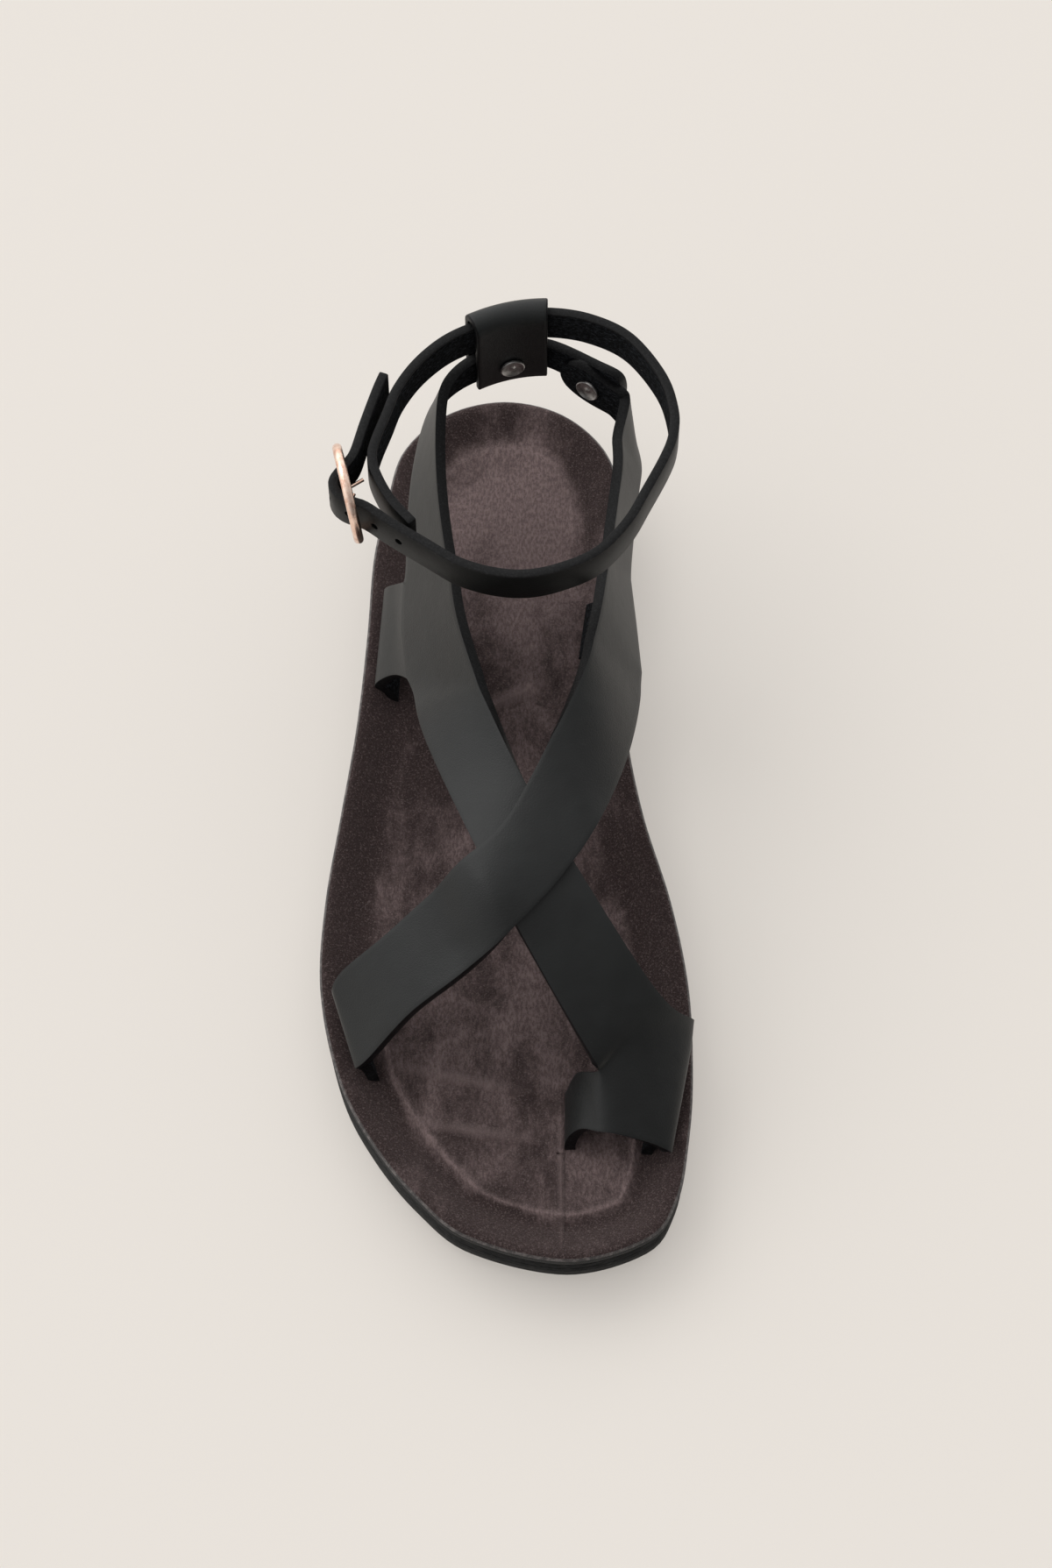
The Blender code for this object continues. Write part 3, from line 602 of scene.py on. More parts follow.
def consistent(points, faces):
    """Faces of a sheet all turned away from the foot."""
    form = bmesh.new()
    corners = [form.verts.new(point) for point in points]
    for face in faces:
        form.faces.new([corners[index] for index in face])
    bmesh.ops.recalc_face_normals(form, faces=form.faces)
    form.normal_update()
    facing = 0.0
    for face in form.faces:
        middle = face.calc_center_median()
        inside = Vector((0.0, middle.y, bed_height(0.0, middle.y) + 0.3 * INSTEP))
        facing += face.normal.dot(middle - inside) * face.calc_area()
    form.verts.index_update()
    found = [tuple(corner.index for corner in face.verts) for face in form.faces]
    form.free()
    if facing < 0:
        found = [face[::-1] for face in found]
    return found


def laid_on(points, under_points, under_faces):
    """Points moved to lie on the other strap where the two cross.

    Over the instep the points lie outside the other strap and behind the
    ankle inside it.
    """
    tree = BVHTree.FromPolygons(under_points, under_faces)
    found = []
    for point in points:
        near, normal, _index, _distance = tree.find_nearest(point)
        if point.z < LAY_FLOOR:
            found.append(point)
            continue
        depth = (point - near).dot(normal)
        aside = (point - near - normal * depth).length
        weight = share(LAY - aside, 0.0, LAY) * share(LAY - abs(depth), 0.0, LAY / 2)
        goal = LEATHER - WELD
        if point.y > -LAY:
            goal = -goal
        elif point.y > -LAY * 4:
            weight = 0.0
        found.append(point + normal * (goal - depth) * weight)
    return found


def keeper_back():
    """Place of the keeper's rivet on its middle line."""
    return Vector((KEEPER_BACK[0] * HEEL_WIDTH / 2, HEEL_WIDTH / 2 - KEEPER_BACK[1] * LENGTH,
                   KEEPER_RIVET))


def ankle_centre():
    """Centre of the ankle ring at the strap's upper edge."""
    back = keeper_back()
    return Vector((back.x + ANKLE_AHEAD[0] * ANKLE_SPAN, back.y + ANKLE_AHEAD[1] * ANKLE_SPAN,
                   ANKLE_TOP))


def ankle_line():
    """Outer face of the ankle strap, seen from above."""
    centre = ankle_centre()
    rows = [Vector((centre.x + row[0] * ANKLE_SPAN, centre.y + row[1] * ANKLE_SPAN, 0.0))
            for row in ANKLE_PATH]
    dense = spline(rows, 8, False)
    return even(dense, ANKLE_STEPS) + [dense[-1]]


def point_at(line, reach):
    """Place on the line and its run, at a distance from its first point."""
    for start, end in zip(line, line[1:]):
        span = (end - start).length
        if reach <= span:
            break
        reach -= span
    return start.lerp(end, reach / span), (end - start) / span


def turned(name, profile, centre, axis, segments, material=None):
    """Solid of revolution: profile of (radius, height) about the axis."""
    turn = Vector((0.0, 0.0, 1.0)).rotation_difference(axis).to_matrix().to_4x4()
    frame = Matrix.Translation(centre) @ turn
    points = []
    faces = []
    for radius, height in profile:
        for step in range(segments):
            angle = 2 * math.pi * step / segments
            points.append(frame @ Vector((radius * math.cos(angle), radius * math.sin(angle), height)))
    for level in range(len(profile) - 1):
        for step in range(segments):
            after = (step + 1) % segments
            corners = (level * segments + step, level * segments + after,
                       (level + 1) * segments + after, (level + 1) * segments + step)
            if profile[level][0] == 0.0:
                corners = corners[1:]
            if profile[level + 1][0] == 0.0:
                corners = corners[:3]
            faces.append(corners)
    return outward(part_from(name, points, faces, material))


def keeper_frame():
    """Centre of the keeper's bend at its rivet's height, and its way back."""
    turn = math.radians(KEEPER_TURN)
    back = Vector((math.sin(turn), math.cos(turn), 0.0))
    return keeper_back() - back * KEEPER_RADIUS, back


def tube(name, line, section, closed, material):
    """Sweep of a (sideways, upwards) section along a line in the XY plane."""
    count = len(line)
    points = []
    faces = []
    around = len(section)
    for index, point in enumerate(line):
        before = line[index - 1] if index or closed else point
        after = line[(index + 1) % count] if index + 1 < count or closed else point
        run = (after - before).normalized()
        side = Vector((run.y, -run.x, 0.0))
        points += [point + side * across + Vector((0.0, 0.0, up)) for across, up in section]
    for index in range(count if closed else count - 1):
        for step in range(around):
            after = (step + 1) % around
            following = (index + 1) % count
            faces.append((index * around + step, index * around + after,
                          following * around + after, following * around + step))
    if not closed:
        faces.append(tuple(range(around)))
        faces.append(tuple((count - 1) * around + step for step in range(around)))
    return outward(part_from(name, points, faces, material))


def buckle_frame_matrix():
    """Places the buckle: its face looks along X, its bar stands along Z."""
    facing = Vector(BUCKLE_FACING).normalized()
    run = Vector((0.0, 0.0, 1.0)).cross(facing).normalized()
    rise = facing.cross(run)
    turn = Matrix((run, rise, facing)).transposed().to_4x4()
    bend = ANKLE_PATH[BUCKLE_ROW]
    inside = ANKLE_LEATHER + BUCKLE_BAR + 2 * PRONG_WIRE + 1.6 * GAP
    centre = ankle_centre() + Vector((bend[0] * ANKLE_SPAN + inside,
                                      bend[1] * ANKLE_SPAN + BUCKLE_BEHIND,
                                      -BUCKLE_LOW * ANKLE_HEIGHT))
    return Matrix.Translation(centre) @ turn


def circle(radius, count, start=0.0, sweep=2 * math.pi, ends=0):
    """Points of an arc in the XY plane."""
    return [Vector((radius * math.cos(start + sweep * step / (count - ends)),
                    radius * math.sin(start + sweep * step / (count - ends)), 0.0))
            for step in range(count)]


def moved(part, matrix):
    """Write a matrix into the part's own points."""
    part.data.transform(matrix)
    return outward(part)

def add(tree, kind, props=None, **inputs):
    """A shader node with its inputs set to values or linked to sockets."""
    found = tree.nodes.new(kind)
    for key, value in (props or {}).items():
        setattr(found, key, value)
    for key, value in inputs.items():
        socket = found.inputs[int(key[1:])] if key[1:].isdigit() else found.inputs[key]
        if isinstance(value, bpy.types.NodeSocket):
            tree.links.new(value, socket)
        else:
            socket.default_value = value
    return found


def new_surface(name, roughness, metallic=0.0, sheen=0.0, specular=0.5):
    """An empty material: its tree, its shader and the object's coordinates."""
    found = bpy.data.materials.new(name)
    found.use_nodes = True
    tree = found.node_tree
    shader = tree.nodes["Principled BSDF"]
    shader.inputs["Roughness"].default_value = roughness
    shader.inputs["Metallic"].default_value = metallic
    shader.inputs["Sheen Weight"].default_value = sheen
    shader.inputs["Sheen Roughness"].default_value = 0.6
    shader.inputs["Specular IOR Level"].default_value = specular
    return found, tree, shader, tree.nodes.new("ShaderNodeTexCoord").outputs["Object"]


def stretched(tree, where, scale):
    """The coordinates scaled by a different amount on each axis."""
    return add(tree, "ShaderNodeMapping", Vector=where, Scale=scale).outputs[0]


def noise(tree, where, scale, detail=4.0, roughness=0.55):
    """Soft noise from 0 to 1, its scale in waves per metre."""
    return add(tree, "ShaderNodeTexNoise", Vector=where, Scale=scale, Detail=detail,
               Roughness=roughness).outputs[0]


def ramp(tree, value, low, high):
    """The value spread so that low gives 0 and high gives 1."""
    return add(tree, "ShaderNodeMapRange", {"interpolation_type": "SMOOTHSTEP"}, i0=value,
               i1=low, i2=high).outputs[0]


def sums(tree, kind, first, second):
    """One sum of two values."""
    return add(tree, "ShaderNodeMath", {"operation": kind}, i0=first, i1=second).outputs[0]


def mixed(tree, part, dark, light):
    """A colour between dark and light."""
    mix = add(tree, "ShaderNodeMix", {"data_type": "RGBA"}, i0=part)
    for index, colour in ((6, dark), (7, light)):
        if isinstance(colour, bpy.types.NodeSocket):
            tree.links.new(colour, mix.inputs[index])
        else:
            mix.inputs[index].default_value = (*colour, 1.0)
    return mix.outputs[2]


def raised_by(tree, height, distance, strength=1.0, after=None):
    """Small relief, its height in shares of the distance."""
    inputs = {"Height": height, "Distance": distance, "Strength": strength}
    if after:
        inputs["Normal"] = after
    return add(tree, "ShaderNodeBump", **inputs).outputs[0]


def patch(tree, where, centre, length, width, turn):
    """1 in the middle of a long soft spot on the footbed and 0 outside it."""
    local = add(tree, "ShaderNodeMapping", {"vector_type": "TEXTURE"}, Vector=where,
                Location=(*centre, 0.0), Rotation=(0.0, 0.0, math.radians(turn)),
                Scale=(length, width, 10.0)).outputs[0]
    return add(tree, "ShaderNodeTexGradient", {"gradient_type": "SPHERICAL"},
               Vector=local).outputs["Fac"]


def leather_face(name, tone, specular):
    """Smooth black leather: fine grain, pull-up and faint scuffs."""
    found, tree, shader, where = new_surface(name, 0.5, specular=specular)
    broad = noise(tree, where, 38.0, 3.0)
    grain = add(tree, "ShaderNodeTexVoronoi", {"feature": "DISTANCE_TO_EDGE"}, Vector=where,
                Scale=1300.0).outputs[0]
    fine = noise(tree, where, 2600.0, 3.0)
    scuff = ramp(tree, noise(tree, stretched(tree, where, (1.0, 3.0, 1.0)), 310.0, 6.0, 0.7),
                 0.66, 0.80)
    colour = mixed(tree, ramp(tree, broad, 0.3, 0.7), (0.5 * tone, 0.56 * tone, 0.56 * tone),
                   (1.2 * tone, 1.34 * tone, 1.34 * tone))
    colour = mixed(tree, sums(tree, "MULTIPLY", scuff, 0.35), colour, (0.060, 0.063, 0.063))
    tree.links.new(colour, shader.inputs["Base Color"])
    rough = add(tree, "ShaderNodeMapRange", i0=broad, i3=0.36, i4=0.50).outputs[0]
    tree.links.new(rough, shader.inputs["Roughness"])
    relief = sums(tree, "ADD", sums(tree, "MULTIPLY", ramp(tree, grain, 0.0, 0.18), 0.5), fine)
    relief = raised_by(tree, relief, 0.00006, 0.55)
    relief = raised_by(tree, noise(tree, where, 90.0, 2.0), 0.0006, 0.35, relief)
    tree.links.new(relief, shader.inputs["Normal"])
    return found


def leather_flesh():
    """Dark fibrous back of the leather."""
    found, tree, shader, where = new_surface("leather_flesh", 0.95, sheen=0.02, specular=0.03)
    fibre = noise(tree, stretched(tree, where, (1.0, 1.0, 2.2)), 900.0, 7.0, 0.80)
    tree.links.new(mixed(tree, ramp(tree, fibre, 0.46, 0.68), (0.0016, 0.0018, 0.0022),
                         (0.048, 0.052, 0.060)), shader.inputs["Base Color"])
    tree.links.new(raised_by(tree, fibre, 0.0007, 1.0), shader.inputs["Normal"])
    return found


def leather_cut():
    """Burnished black cut edge."""
    found, tree, shader, where = new_surface("leather_cut", 0.45, specular=0.16)
    layer = noise(tree, where, 1800.0, 5.0, 0.7)
    tree.links.new(mixed(tree, ramp(tree, layer, 0.45, 0.75), (0.0025, 0.0025, 0.0028),
                         (0.016, 0.016, 0.017)), shader.inputs["Base Color"])
    tree.links.new(raised_by(tree, layer, 0.00018, 0.7), shader.inputs["Normal"])
    return found


def suede():
    """Brown napped footbed, brushed lighter in places and creased at the toes, with painted shade on
    the rim slope and a painted highlight on the toe ridge and along the creases.
    """
    found, tree, shader, where = new_surface("footbed_suede", 0.93, sheen=0.20, specular=0.08)
    shader.inputs["Sheen Tint"].default_value = (0.75, 0.62, 0.60, 1.0)
    nap = noise(tree, where, 2100.0, 4.0, 0.7)
    tuft = noise(tree, stretched(tree, where, (1.0, 0.40, 1.0)), 1500.0, 5.0, 0.75)
    strokes = add(tree, "ShaderNodeTexNoise", Vector=stretched(tree, where, (1.0, 0.6, 1.0)),
                  Scale=70.0, Detail=8.0, Roughness=0.74, Distortion=0.3).outputs[0]
    brushed = sums(tree, "ADD", sums(tree, "MULTIPLY", strokes, 0.65),
                   sums(tree, "MULTIPLY", noise(tree, where, 30.0, 2.0, 0.5), 0.35))
    # Point attributes from mark_footbed: painted shade on the rim slope and a painted highlight on the
    # toe ridge
    rim_painted_shade = add(tree, "ShaderNodeAttribute", {"attribute_name": "rim_painted_shade"}).outputs["Fac"]
    ridge = add(tree, "ShaderNodeAttribute", {"attribute_name": "ridge"}).outputs["Fac"]
    heel = patch(tree, where, (0.004, -0.004), 0.032, 0.040, 0.0)
    ball = patch(tree, where, (0.000, -0.165), 0.046, 0.060, 0.0)
    light = sums(tree, "ADD", brushed, sums(tree, "MULTIPLY", heel, 0.26))
    light = sums(tree, "ADD", light, sums(tree, "MULTIPLY", ball, 0.04))
    # Painted highlight: the suede is lightened along the moulded toe ridge
    light = sums(tree, "ADD", light, sums(tree, "MULTIPLY", ridge, 0.14))
    # Painted shade: the suede is darkened on the rim's inner slope, outside the toe ridge
    light = sums(tree, "SUBTRACT", light, sums(tree, "MULTIPLY", rim_painted_shade, 0.13))
    base = mixed(tree, ramp(tree, light, 0.40, 0.66), (0.030, 0.0185, 0.0180),
                 (0.225, 0.163, 0.160))
    base = mixed(tree, ramp(tree, tuft, 0.42, 0.60), mixed(tree, 0.50, base, (0.016, 0.010, 0.010)),
                 base)
    base = mixed(tree, sums(tree, "MULTIPLY", ramp(tree, nap, 0.50, 0.68), 0.50), base,
                 (0.210, 0.160, 0.155))
    creases = 0.0
    for centre, length, width, turn in (((0.0150, -0.1965), 0.0012, 0.024, 0.0),
                                        ((-0.0110, -0.1690), 0.021, 0.0022, -12.0),
                                        ((-0.0085, -0.1835), 0.021, 0.0024, -10.0),
                                        ((0.0000, -0.0600), 0.016, 0.0030, 25.0)):
        creases = sums(tree, "ADD", creases, patch(tree, where, centre, length, width, turn))
    # The creases are also painted lighter: a painted highlight along each fold, besides their real
    # relief below
    base = mixed(tree, sums(tree, "MULTIPLY", creases, 0.40), base, (0.250, 0.185, 0.180))
    tree.links.new(base, shader.inputs["Base Color"])
    relief = raised_by(tree, creases, 0.0012, 0.9)
    relief = raised_by(tree, sums(tree, "ADD", nap, tuft), 0.00050, 0.9, relief)
    relief = raised_by(tree, brushed, 0.0020, 0.30, relief)
    tree.links.new(relief, shader.inputs["Normal"])
    return found


def suede_edge():
    """Pale worn line where the suede is trimmed at the rim."""
    found, tree, shader, where = new_surface("suede_trim", 0.8, sheen=0.3, specular=0.3)
    worn = noise(tree, where, 700.0, 5.0, 0.7)
    tree.links.new(mixed(tree, ramp(tree, worn, 0.42, 0.66), (0.030, 0.024, 0.023),
                         (0.120, 0.102, 0.097)), shader.inputs["Base Color"])
    tree.links.new(raised_by(tree, worn, 0.0003, 0.7), shader.inputs["Normal"])
    return found


def sole_wall(name, dark, light, roughness):
    """Black sole rubber, finely streaked along the edge."""
    found, tree, shader, where = new_surface(name, roughness, specular=0.35)
    streak = noise(tree, stretched(tree, where, (0.35, 0.35, 3.0)), 900.0, 6.0, 0.72)
    pores = noise(tree, where, 1900.0, 3.0, 0.6)
    tree.links.new(mixed(tree, ramp(tree, streak, 0.42, 0.74), dark, light),
                   shader.inputs["Base Color"])
    relief = raised_by(tree, streak, 0.00045, 0.8)
    relief = raised_by(tree, pores, 0.00012, 0.6, relief)
    tree.links.new(relief, shader.inputs["Normal"])
    return found


def metal(name, dark, light, roughness):
    """Plated metal with fine turning marks and a little tarnish."""
    found, tree, shader, where = new_surface(name, roughness, metallic=1.0)
    tarnish = noise(tree, where, 420.0, 5.0, 0.6)
    marks = noise(tree, stretched(tree, where, (1.0, 1.0, 6.0)), 2400.0, 3.0)
    tree.links.new(mixed(tree, ramp(tree, tarnish, 0.34, 0.62), dark, light),
                   shader.inputs["Base Color"])
    rough = add(tree, "ShaderNodeMapRange", i0=marks, i3=roughness * 0.7,
                i4=roughness * 1.5).outputs[0]
    tree.links.new(rough, shader.inputs["Roughness"])
    tree.links.new(raised_by(tree, marks, 0.00004, 0.5), shader.inputs["Normal"])
    return found


def dressed(part, node, angle=40.0):
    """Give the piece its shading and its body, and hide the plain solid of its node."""
    part.data.polygons.foreach_set("use_smooth", [True] * len(part.data.polygons))
    part.data.set_sharp_from_angle(angle=math.radians(angle))
    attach(part, "root")
    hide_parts(node)
    return part


def hide(name, points, faces, thickness, skins):
    """Leather behind the sheet: grain outside, flesh inside, rounded cut edges."""
    part = part_from(name, points, faces)
    for skin in skins:
        part.data.materials.append(skin)
    body = part.modifiers.new("leather", "SOLIDIFY")
    body.thickness = thickness
    body.offset = -1.0
    body.use_even_offset = True
    body.material_offset = 1
    body.material_offset_rim = 2
    edge = part.modifiers.new("edge", "BEVEL")
    edge.width = EDGE_ROUND
    edge.segments = 2
    edge.limit_method = "ANGLE"
    edge.angle_limit = math.radians(50)
    edge.material = 2
    return apply_modifiers(part)


def ring_faces(part, count, levels, index):
    """Give the faces of some levels of a loft another material."""
    for face in part.data.polygons:
        if face.index // count in levels:
            face.material_index = index


def mark_footbed(part, outline):
    """Store for each point how far it is on the rim slope, which gets painted shade, and on the toe
    ridge, which gets a painted highlight.
    """
    rim_painted_shade = part.data.attributes.new("rim_painted_shade", "FLOAT", "POINT")
    ridge = part.data.attributes.new("ridge", "FLOAT", "POINT")
    edge = [(p.x, p.y) for p in outline]
    for corner in part.data.vertices:
        inset = min(math.hypot(corner.co.x - x, corner.co.y - y) for x, y in edge)
        toe = share(station_of(corner.co.y), 0.60, 0.76)
        # Painted shade on the rim slope: 1 at the rim, 0 from the toe ridge inwards
        rim_painted_shade.data[corner.index].value = 1.0 - share(inset, RIDGE_INSET - 0.005, RIDGE_INSET)
        # Painted highlight on the toe ridge: 1 on its line at the toes, fading within 1.2 mm of it
        nearness = 1.0 - min(abs(inset - RIDGE_INSET) / 0.0012, 1.0)
        ridge.data[corner.index].value = nearness * toe


def dress_footbed(skins):
    """Footbed with its moulded toe ridge and dished heel."""
    outline = outline_ring(RING_POINTS)

    def ridge(x, y, part):
        station = station_of(y)
        toe = share(station, 0.60, 0.76) + 0.25 * (1.0 - share(station, 0.10, 0.30))
        return part * RIDGE * min(toe + 0.25, 1.0)

    under = [(inset, lift, 0.0) for inset, lift in FOOTBED_UNDER[::-1]]
    top = [(inset, lift, 0.0) for inset, lift in FOOTBED_TOP[:-1]]
    top += [(0.0112, RIM * 0.02, -0.4), (RIDGE_INSET - 0.0010, 0.0, 0.1),
            (RIDGE_INSET - 0.0005, 0.0, 0.75), (RIDGE_INSET, 0.0, 1.0),
            (RIDGE_INSET + 0.0006, 0.0, 0.7), (RIDGE_INSET + 0.0016, 0.0, 0.15),
            (RIDGE_INSET + 0.0030, 0.0, 0.0)]
    rings = []
    for inset, lift, part in under + top:
        lip = HEEL_LIP if lift > RIM * 0.5 else 0.0
        rings.append(raised(inset_ring(outline, inset),
                            lambda x, y: bed_height(x, y) + lift + ridge(x, y, part)
                            + lip * share(y, 0.0, HEEL_WIDTH / 2)))
    rings.insert(0, raised(narrowed_ring(inset_ring(outline, FOOTBED_UNDER[-1][0]), 0.5),
                           lambda x, y: bed_height(x, y) - FOOTBED))
    inner = inset_ring(outline, RIDGE_INSET + 0.0030)
    for step in range(1, 13):
        rings.append(raised(narrowed_ring(inner, step / 13), bed_height))
    part = loft("insole", rings, skins[0])
    part.data.materials.append(skins[1])
    part.data.materials.append(skins[2])
    mark_footbed(part, outline)
    ring_faces(part, RING_POINTS, (0, 1, 2, 3), 2)
    ring_faces(part, RING_POINTS, (4,), 1)
    return dressed(part, "footbed", 60.0)


def dress_midsole(skin):
    """Sole wall with fine ribs run round it."""
    outline = outline_ring(RING_POINTS)

    def low(x, y):
        return ground_height(y) + OUTSOLE + GAP

    def high(x, y):
        return bed_height(x, y) + RIM - FOOTBED_EDGE - GAP

    def bed_under(x, y):
        return bed_height(x, y) - FOOTBED - GAP

    lip = inset_ring(outline, FOOTBED_UNDER[1][0] - GAP)
    floor = inset_ring(outline, FOOTBED_UNDER[2][0] - GAP)
    rings = [raised(narrowed_ring(floor, 0.5), bed_under), raised(floor, bed_under),
             raised(lip, high)]
    levels = 2 * round((HEEL_STACK - OUTSOLE) / RIB_PITCH)
    wide = ((1.0, 0.0), (0.86, 0.0), (0.80, 1.0), (0.62, 1.0), (0.56, 0.0), (0.40, 0.0),
            (0.34, 1.0), (0.16, 1.0), (0.10, 0.0), (0.0, 0.0))
    for level in range(levels + 1):
        part = 1.0 - level / levels
        for above, below in zip(wide, wide[1:]):
            if below[0] <= part <= above[0]:
                blend = (above[0] - part) / (above[0] - below[0])
                rib = above[1] + (below[1] - above[1]) * blend
                break
        inset = 0.0010 - 0.0004 * part + SIDE_RIB * rib + (RIB if level % 2 else 0.0)
        rings.append(raised(inset_ring(outline, inset),
                            lambda x, y: low(x, y) + (high(x, y) - low(x, y)) * part))
    return dressed(loft("sole_wall", rings, skin), "midsole", 25.0)


def dress_outsole(skin):
    """Walking sole: rounded edge and cross grooves."""
    return dressed(make_outsole(skin), "outsole", 35.0)


def dress_upper(skins):
    """The two crossing straps, each with its own grain, flesh and edges."""
    first, second = grids_a(), grids_b()
    loose_a = [first[0][row][-1] for row in (TAB_A_ROWS[0], TAB_A_ROWS[-1], 4)]
    loose_b = [second[0][row][-1] for row in (TAB_B_ROWS[0], TAB_B_ROWS[-1])]
    points_a, faces_a = fitted_sheet(first, loose_a, SHEET_ROUNDS)
    points_b, faces_b = fitted_sheet(second, loose_b, SHEET_ROUNDS)
    faces_a = consistent(points_a, faces_a)
    faces_b = consistent(points_b, faces_b)
    points_b = laid_on(points_b, points_a, faces_a)
    under = hide("strap_under", points_a, faces_a, LEATHER, skins)
    over = hide("strap_over", points_b, faces_b, LEATHER, skins)
    tree = BVHTree.FromPolygons(points_a, faces_a)
    seat, facing, _index, _distance = tree.find_nearest(place(*HEEL_RIVET))
    dressed(under, "upper")
    dressed(over, "upper")
    return seat, facing


def dress_ankle_strap(skins):
    """Band wound round the ankle with its punched holes."""
    line = ankle_line()
    points = []
    faces = []
    for index, point in enumerate(line):
        points += [Vector((point.x, point.y, ANKLE_TOP - ANKLE_HEIGHT)),
                   Vector((point.x, point.y, ANKLE_TOP))]
        if index:
            faces.append((index * 2 - 2, index * 2 - 1, index * 2 + 1, index * 2))
    band = hide("ankle_band", points, consistent(points, faces), ANKLE_LEATHER, skins)
    for number in range(HOLES):
        centre, run = point_at(line[::-1], HOLES_START - number * HOLE_PITCH)
        centre.z = ANKLE_TOP - ANKLE_HEIGHT / 2
        # The foremost hole lies close to the strap's inner end, which stays whole
        reach = 0.004 if number else 0.0017
        tool = turned("punch", ((0.0, -reach), (HOLE_RADIUS, -reach), (HOLE_RADIUS, reach),
                                (0.0, reach)), centre, Vector((run.y, -run.x, 0.0)), 28)
        cut(band, tool, "DIFFERENCE")
    return dressed(band, "ankle_strap")


def dress_keeper(skins):
    """Leather folded over the ankle strap and down both sides of the upper."""
    centre, _back = keeper_frame()
    middle = KEEPER_RADIUS
    bend = KEEPER_SPREAD / 2
    rise = KEEPER_BEND - KEEPER_FOOT
    profile = [(middle + bend, KEEPER_FOOT + rise * part / 8) for part in range(8)]
    for step in range(21):
        angle = math.pi * step / 20
        profile.append((middle + bend * math.cos(angle), KEEPER_BEND + bend * math.sin(angle)))
    profile += [(middle - bend, KEEPER_BEND - rise * part / 8) for part in range(1, 9)]
    points = []
    faces = []
    columns = 18
    for row, (radius, height) in enumerate(profile):
        for column in range(columns + 1):
            angle = (column / columns - 0.5) * KEEPER_WIDTH / middle + math.radians(KEEPER_TURN)
            points.append(Vector((centre.x + radius * math.sin(angle),
                                  centre.y + radius * math.cos(angle), height)))
            if row and column:
                last = row * (columns + 1) + column
                faces.append((last - 1, last, last - columns - 1, last - columns - 2))
    return dressed(hide("keeper_fold", points, faces, KEEPER_LEATHER, skins), "heel_keeper")


def dress_rivet(name, node, low, high, centre, axis, skin):
    """Domed rivet with a raised rim and a small centre."""
    head = ((0.0, 0.62), (0.16, 0.60), (0.22, 0.42), (0.34, 0.40), (0.70, 0.62), (0.82, 0.86),
            (0.90, 1.0), (0.97, 0.86), (1.0, 0.5), (0.98, 0.12), (0.94, 0.0))
    profile = [(RIVET_HEAD * across, low - RIVET_DOME * up) for across, up in head]
    profile += [(RIVET_SHANK, low), (RIVET_SHANK, high)]
    profile += [(RIVET_HEAD * across, high + RIVET_DOME * up) for across, up in head[::-1]]
    return dressed(turned(name, profile, centre, axis, 56, skin), node)


def dress_buckle(skin):
    """Ring buckle: round frame and its middle bar."""
    rounded = [(BUCKLE_RIM / 2 * math.cos(math.pi * step / 8), BUCKLE_DEPTH / 2
                * math.sin(math.pi * step / 8)) for step in range(16)]
    middle = BUCKLE_RADIUS - BUCKLE_RIM / 2
    ring = tube("buckle_ring", circle(middle, 120), rounded, True, skin)
    bar = turned("bar_tool", ((0.0, -middle), (BUCKLE_BAR, -middle), (BUCKLE_BAR, middle),
                              (0.0, middle)), Vector((0.0, 0.0, 0.0)), Vector((0.0, 1.0, 0.0)), 24)
    cut(ring, bar, "UNION")
    return dressed(moved(ring, buckle_frame_matrix()), "buckle_frame")


def dress_prong(skin):
    """Wire prong hooked round the bar."""
    hook = BUCKLE_BAR + GAP + PRONG_WIRE
    line = circle(hook, 30, math.radians(-70), math.radians(260), 1)
    line.append(line[-1] + Vector(PRONG_REACH))
    section = [(PRONG_WIRE * math.cos(math.pi * step / 6), PRONG_WIRE * math.sin(math.pi * step / 6))
               for step in range(12)]
    wire = tube("prong_wire", line, section, False, skin)
    upright = Matrix.Rotation(math.radians(90), 4, "X")
    return dressed(moved(wire, buckle_frame_matrix() @ upright), "buckle_prong")


def light_panel(name, place_at, aim, size, power, colour):
    """Soft square light aimed at a point."""
    data = bpy.data.lights.new(name, "AREA")
    data.size = size
    data.energy = power
    data.color = colour
    lamp = bpy.data.objects.new(name, data)
    lamp.location = place_at
    lamp.rotation_euler = (Vector(aim) - Vector(place_at)).to_track_quat("-Z", "Y").to_euler()
    bpy.context.scene.collection.objects.link(lamp)


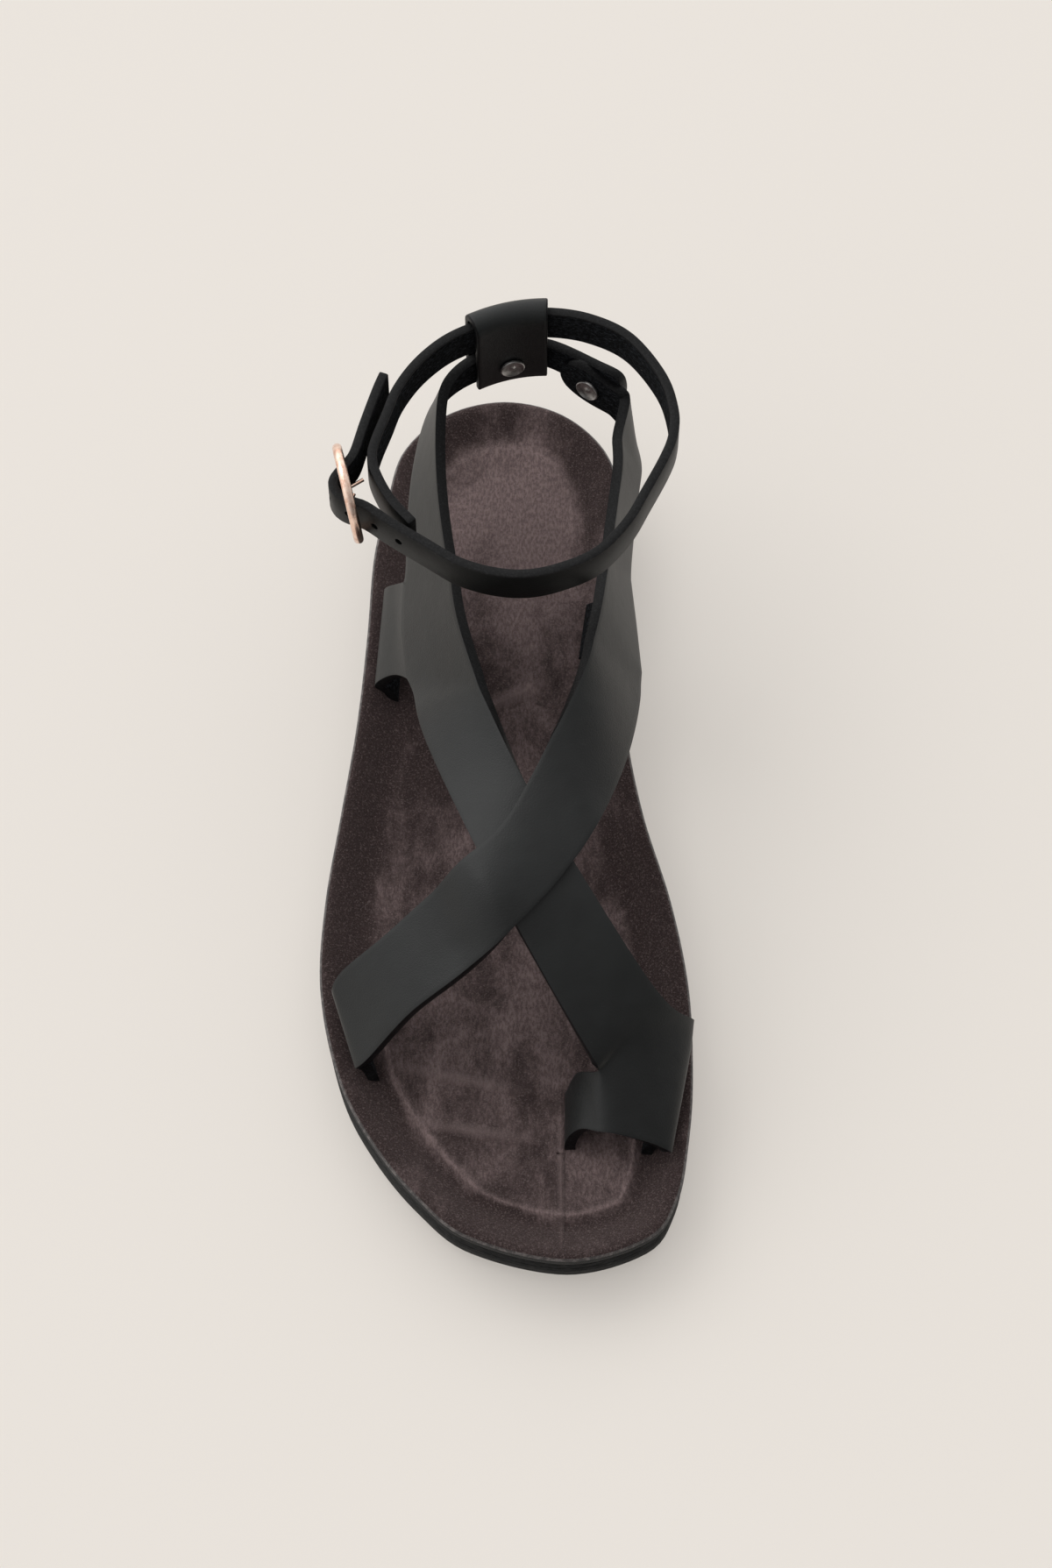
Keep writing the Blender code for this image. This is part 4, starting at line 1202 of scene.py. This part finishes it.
def studio():
    """Pale floor, soft light from the upper left and the camera."""
    floor = part_from("floor", [(-3, -3, 0), (3, -3, 0), (3, 3, 0), (-3, 3, 0)], [(0, 1, 2, 3)])
    paper, tree, shader, where = new_surface("paper", 0.9, specular=0.1)
    shade = mixed(tree, noise(tree, where, 6.0, 3.0), (0.472, 0.448, 0.419), (0.483, 0.458, 0.429))
    tree.links.new(shade, shader.inputs["Base Color"])
    shader.inputs["Emission Color"].default_value = (1.0, 0.935, 0.865, 1.0)
    shader.inputs["Emission Strength"].default_value = 0.338
    floor.data.materials.append(paper)
    floor.location.z = -0.0002
    world = bpy.data.worlds.new("studio")
    world.use_nodes = True
    tree = world.node_tree
    sky = tree.nodes["Background"]
    sky.inputs[0].default_value = (1.0, 0.997, 0.992, 1.0)
    way = add(tree, "ShaderNodeSeparateXYZ", i0=tree.nodes.new("ShaderNodeTexCoord").outputs[0])
    left = sums(tree, "MULTIPLY", way.outputs[0], -0.46)
    rear = sums(tree, "MULTIPLY", way.outputs[1], 0.58)
    glow = sums(tree, "ADD", sums(tree, "ADD", left, rear), 0.88)
    tree.links.new(sums(tree, "MAXIMUM", glow, 0.15), sky.inputs[1])
    bpy.context.scene.world = world
    light_panel("key", (-2.0, 1.3, 2.9), (0.0, -0.09, 0.0), 2.6, 27.0, (1.0, 0.99, 0.975))
    data = bpy.data.cameras.new("camera")
    data.lens = 85.0
    data.sensor_width = 36.0
    camera = bpy.data.objects.new("camera", data)
    camera.location = (0.006, -0.5379, 0.9060)
    camera.rotation_euler = (math.radians(27.0), 0.0, 0.0)
    bpy.context.scene.collection.objects.link(camera)
    bpy.context.scene.camera = camera
    bpy.context.scene.view_settings.view_transform = "Standard"


def make_all():
    """Build and dress every piece of the shoe."""
    flesh, rim = leather_flesh(), leather_cut()
    skins = (leather_face("strap_leather", 0.0085, 0.33), flesh, rim)
    # Painted shade: the ankle strap's leather is the strap leather at about half the tone, and less
    # glossy
    ankle_skins_painted_shade = (leather_face("ankle_leather_painted_shade", 0.0040, 0.12), flesh, rim)
    wall = sole_wall("sole_wall_rubber", (0.004, 0.004, 0.004), (0.034, 0.034, 0.033), 0.7)
    tread = sole_wall("tread_rubber", (0.006, 0.006, 0.006), (0.030, 0.030, 0.030), 0.75)
    silver = metal("silver", (0.27, 0.26, 0.255), (0.50, 0.49, 0.48), 0.30)
    rose = metal("rose_gold", (0.76, 0.47, 0.36), (0.96, 0.73, 0.61), 0.20)
    dress_outsole(tread)
    dress_midsole(wall)
    dress_footbed((suede(), suede_edge(), wall))
    seat, facing = dress_upper(skins)
    dress_ankle_strap(ankle_skins_painted_shade)
    dress_keeper(skins)
    centre, back = keeper_frame()
    dress_rivet("keeper_stud", "keeper_rivet", KEEPER_RADIUS - KEEPER_SPREAD / 2 - GAP,
                KEEPER_RADIUS + KEEPER_SPREAD / 2 + GAP, centre, back, silver)
    dress_rivet("heel_stud", "heel_rivet", WELD - 2 * LEATHER - GAP, GAP, seat, facing, silver)
    dress_buckle(rose)
    dress_prong(rose)


make_all()
studio()
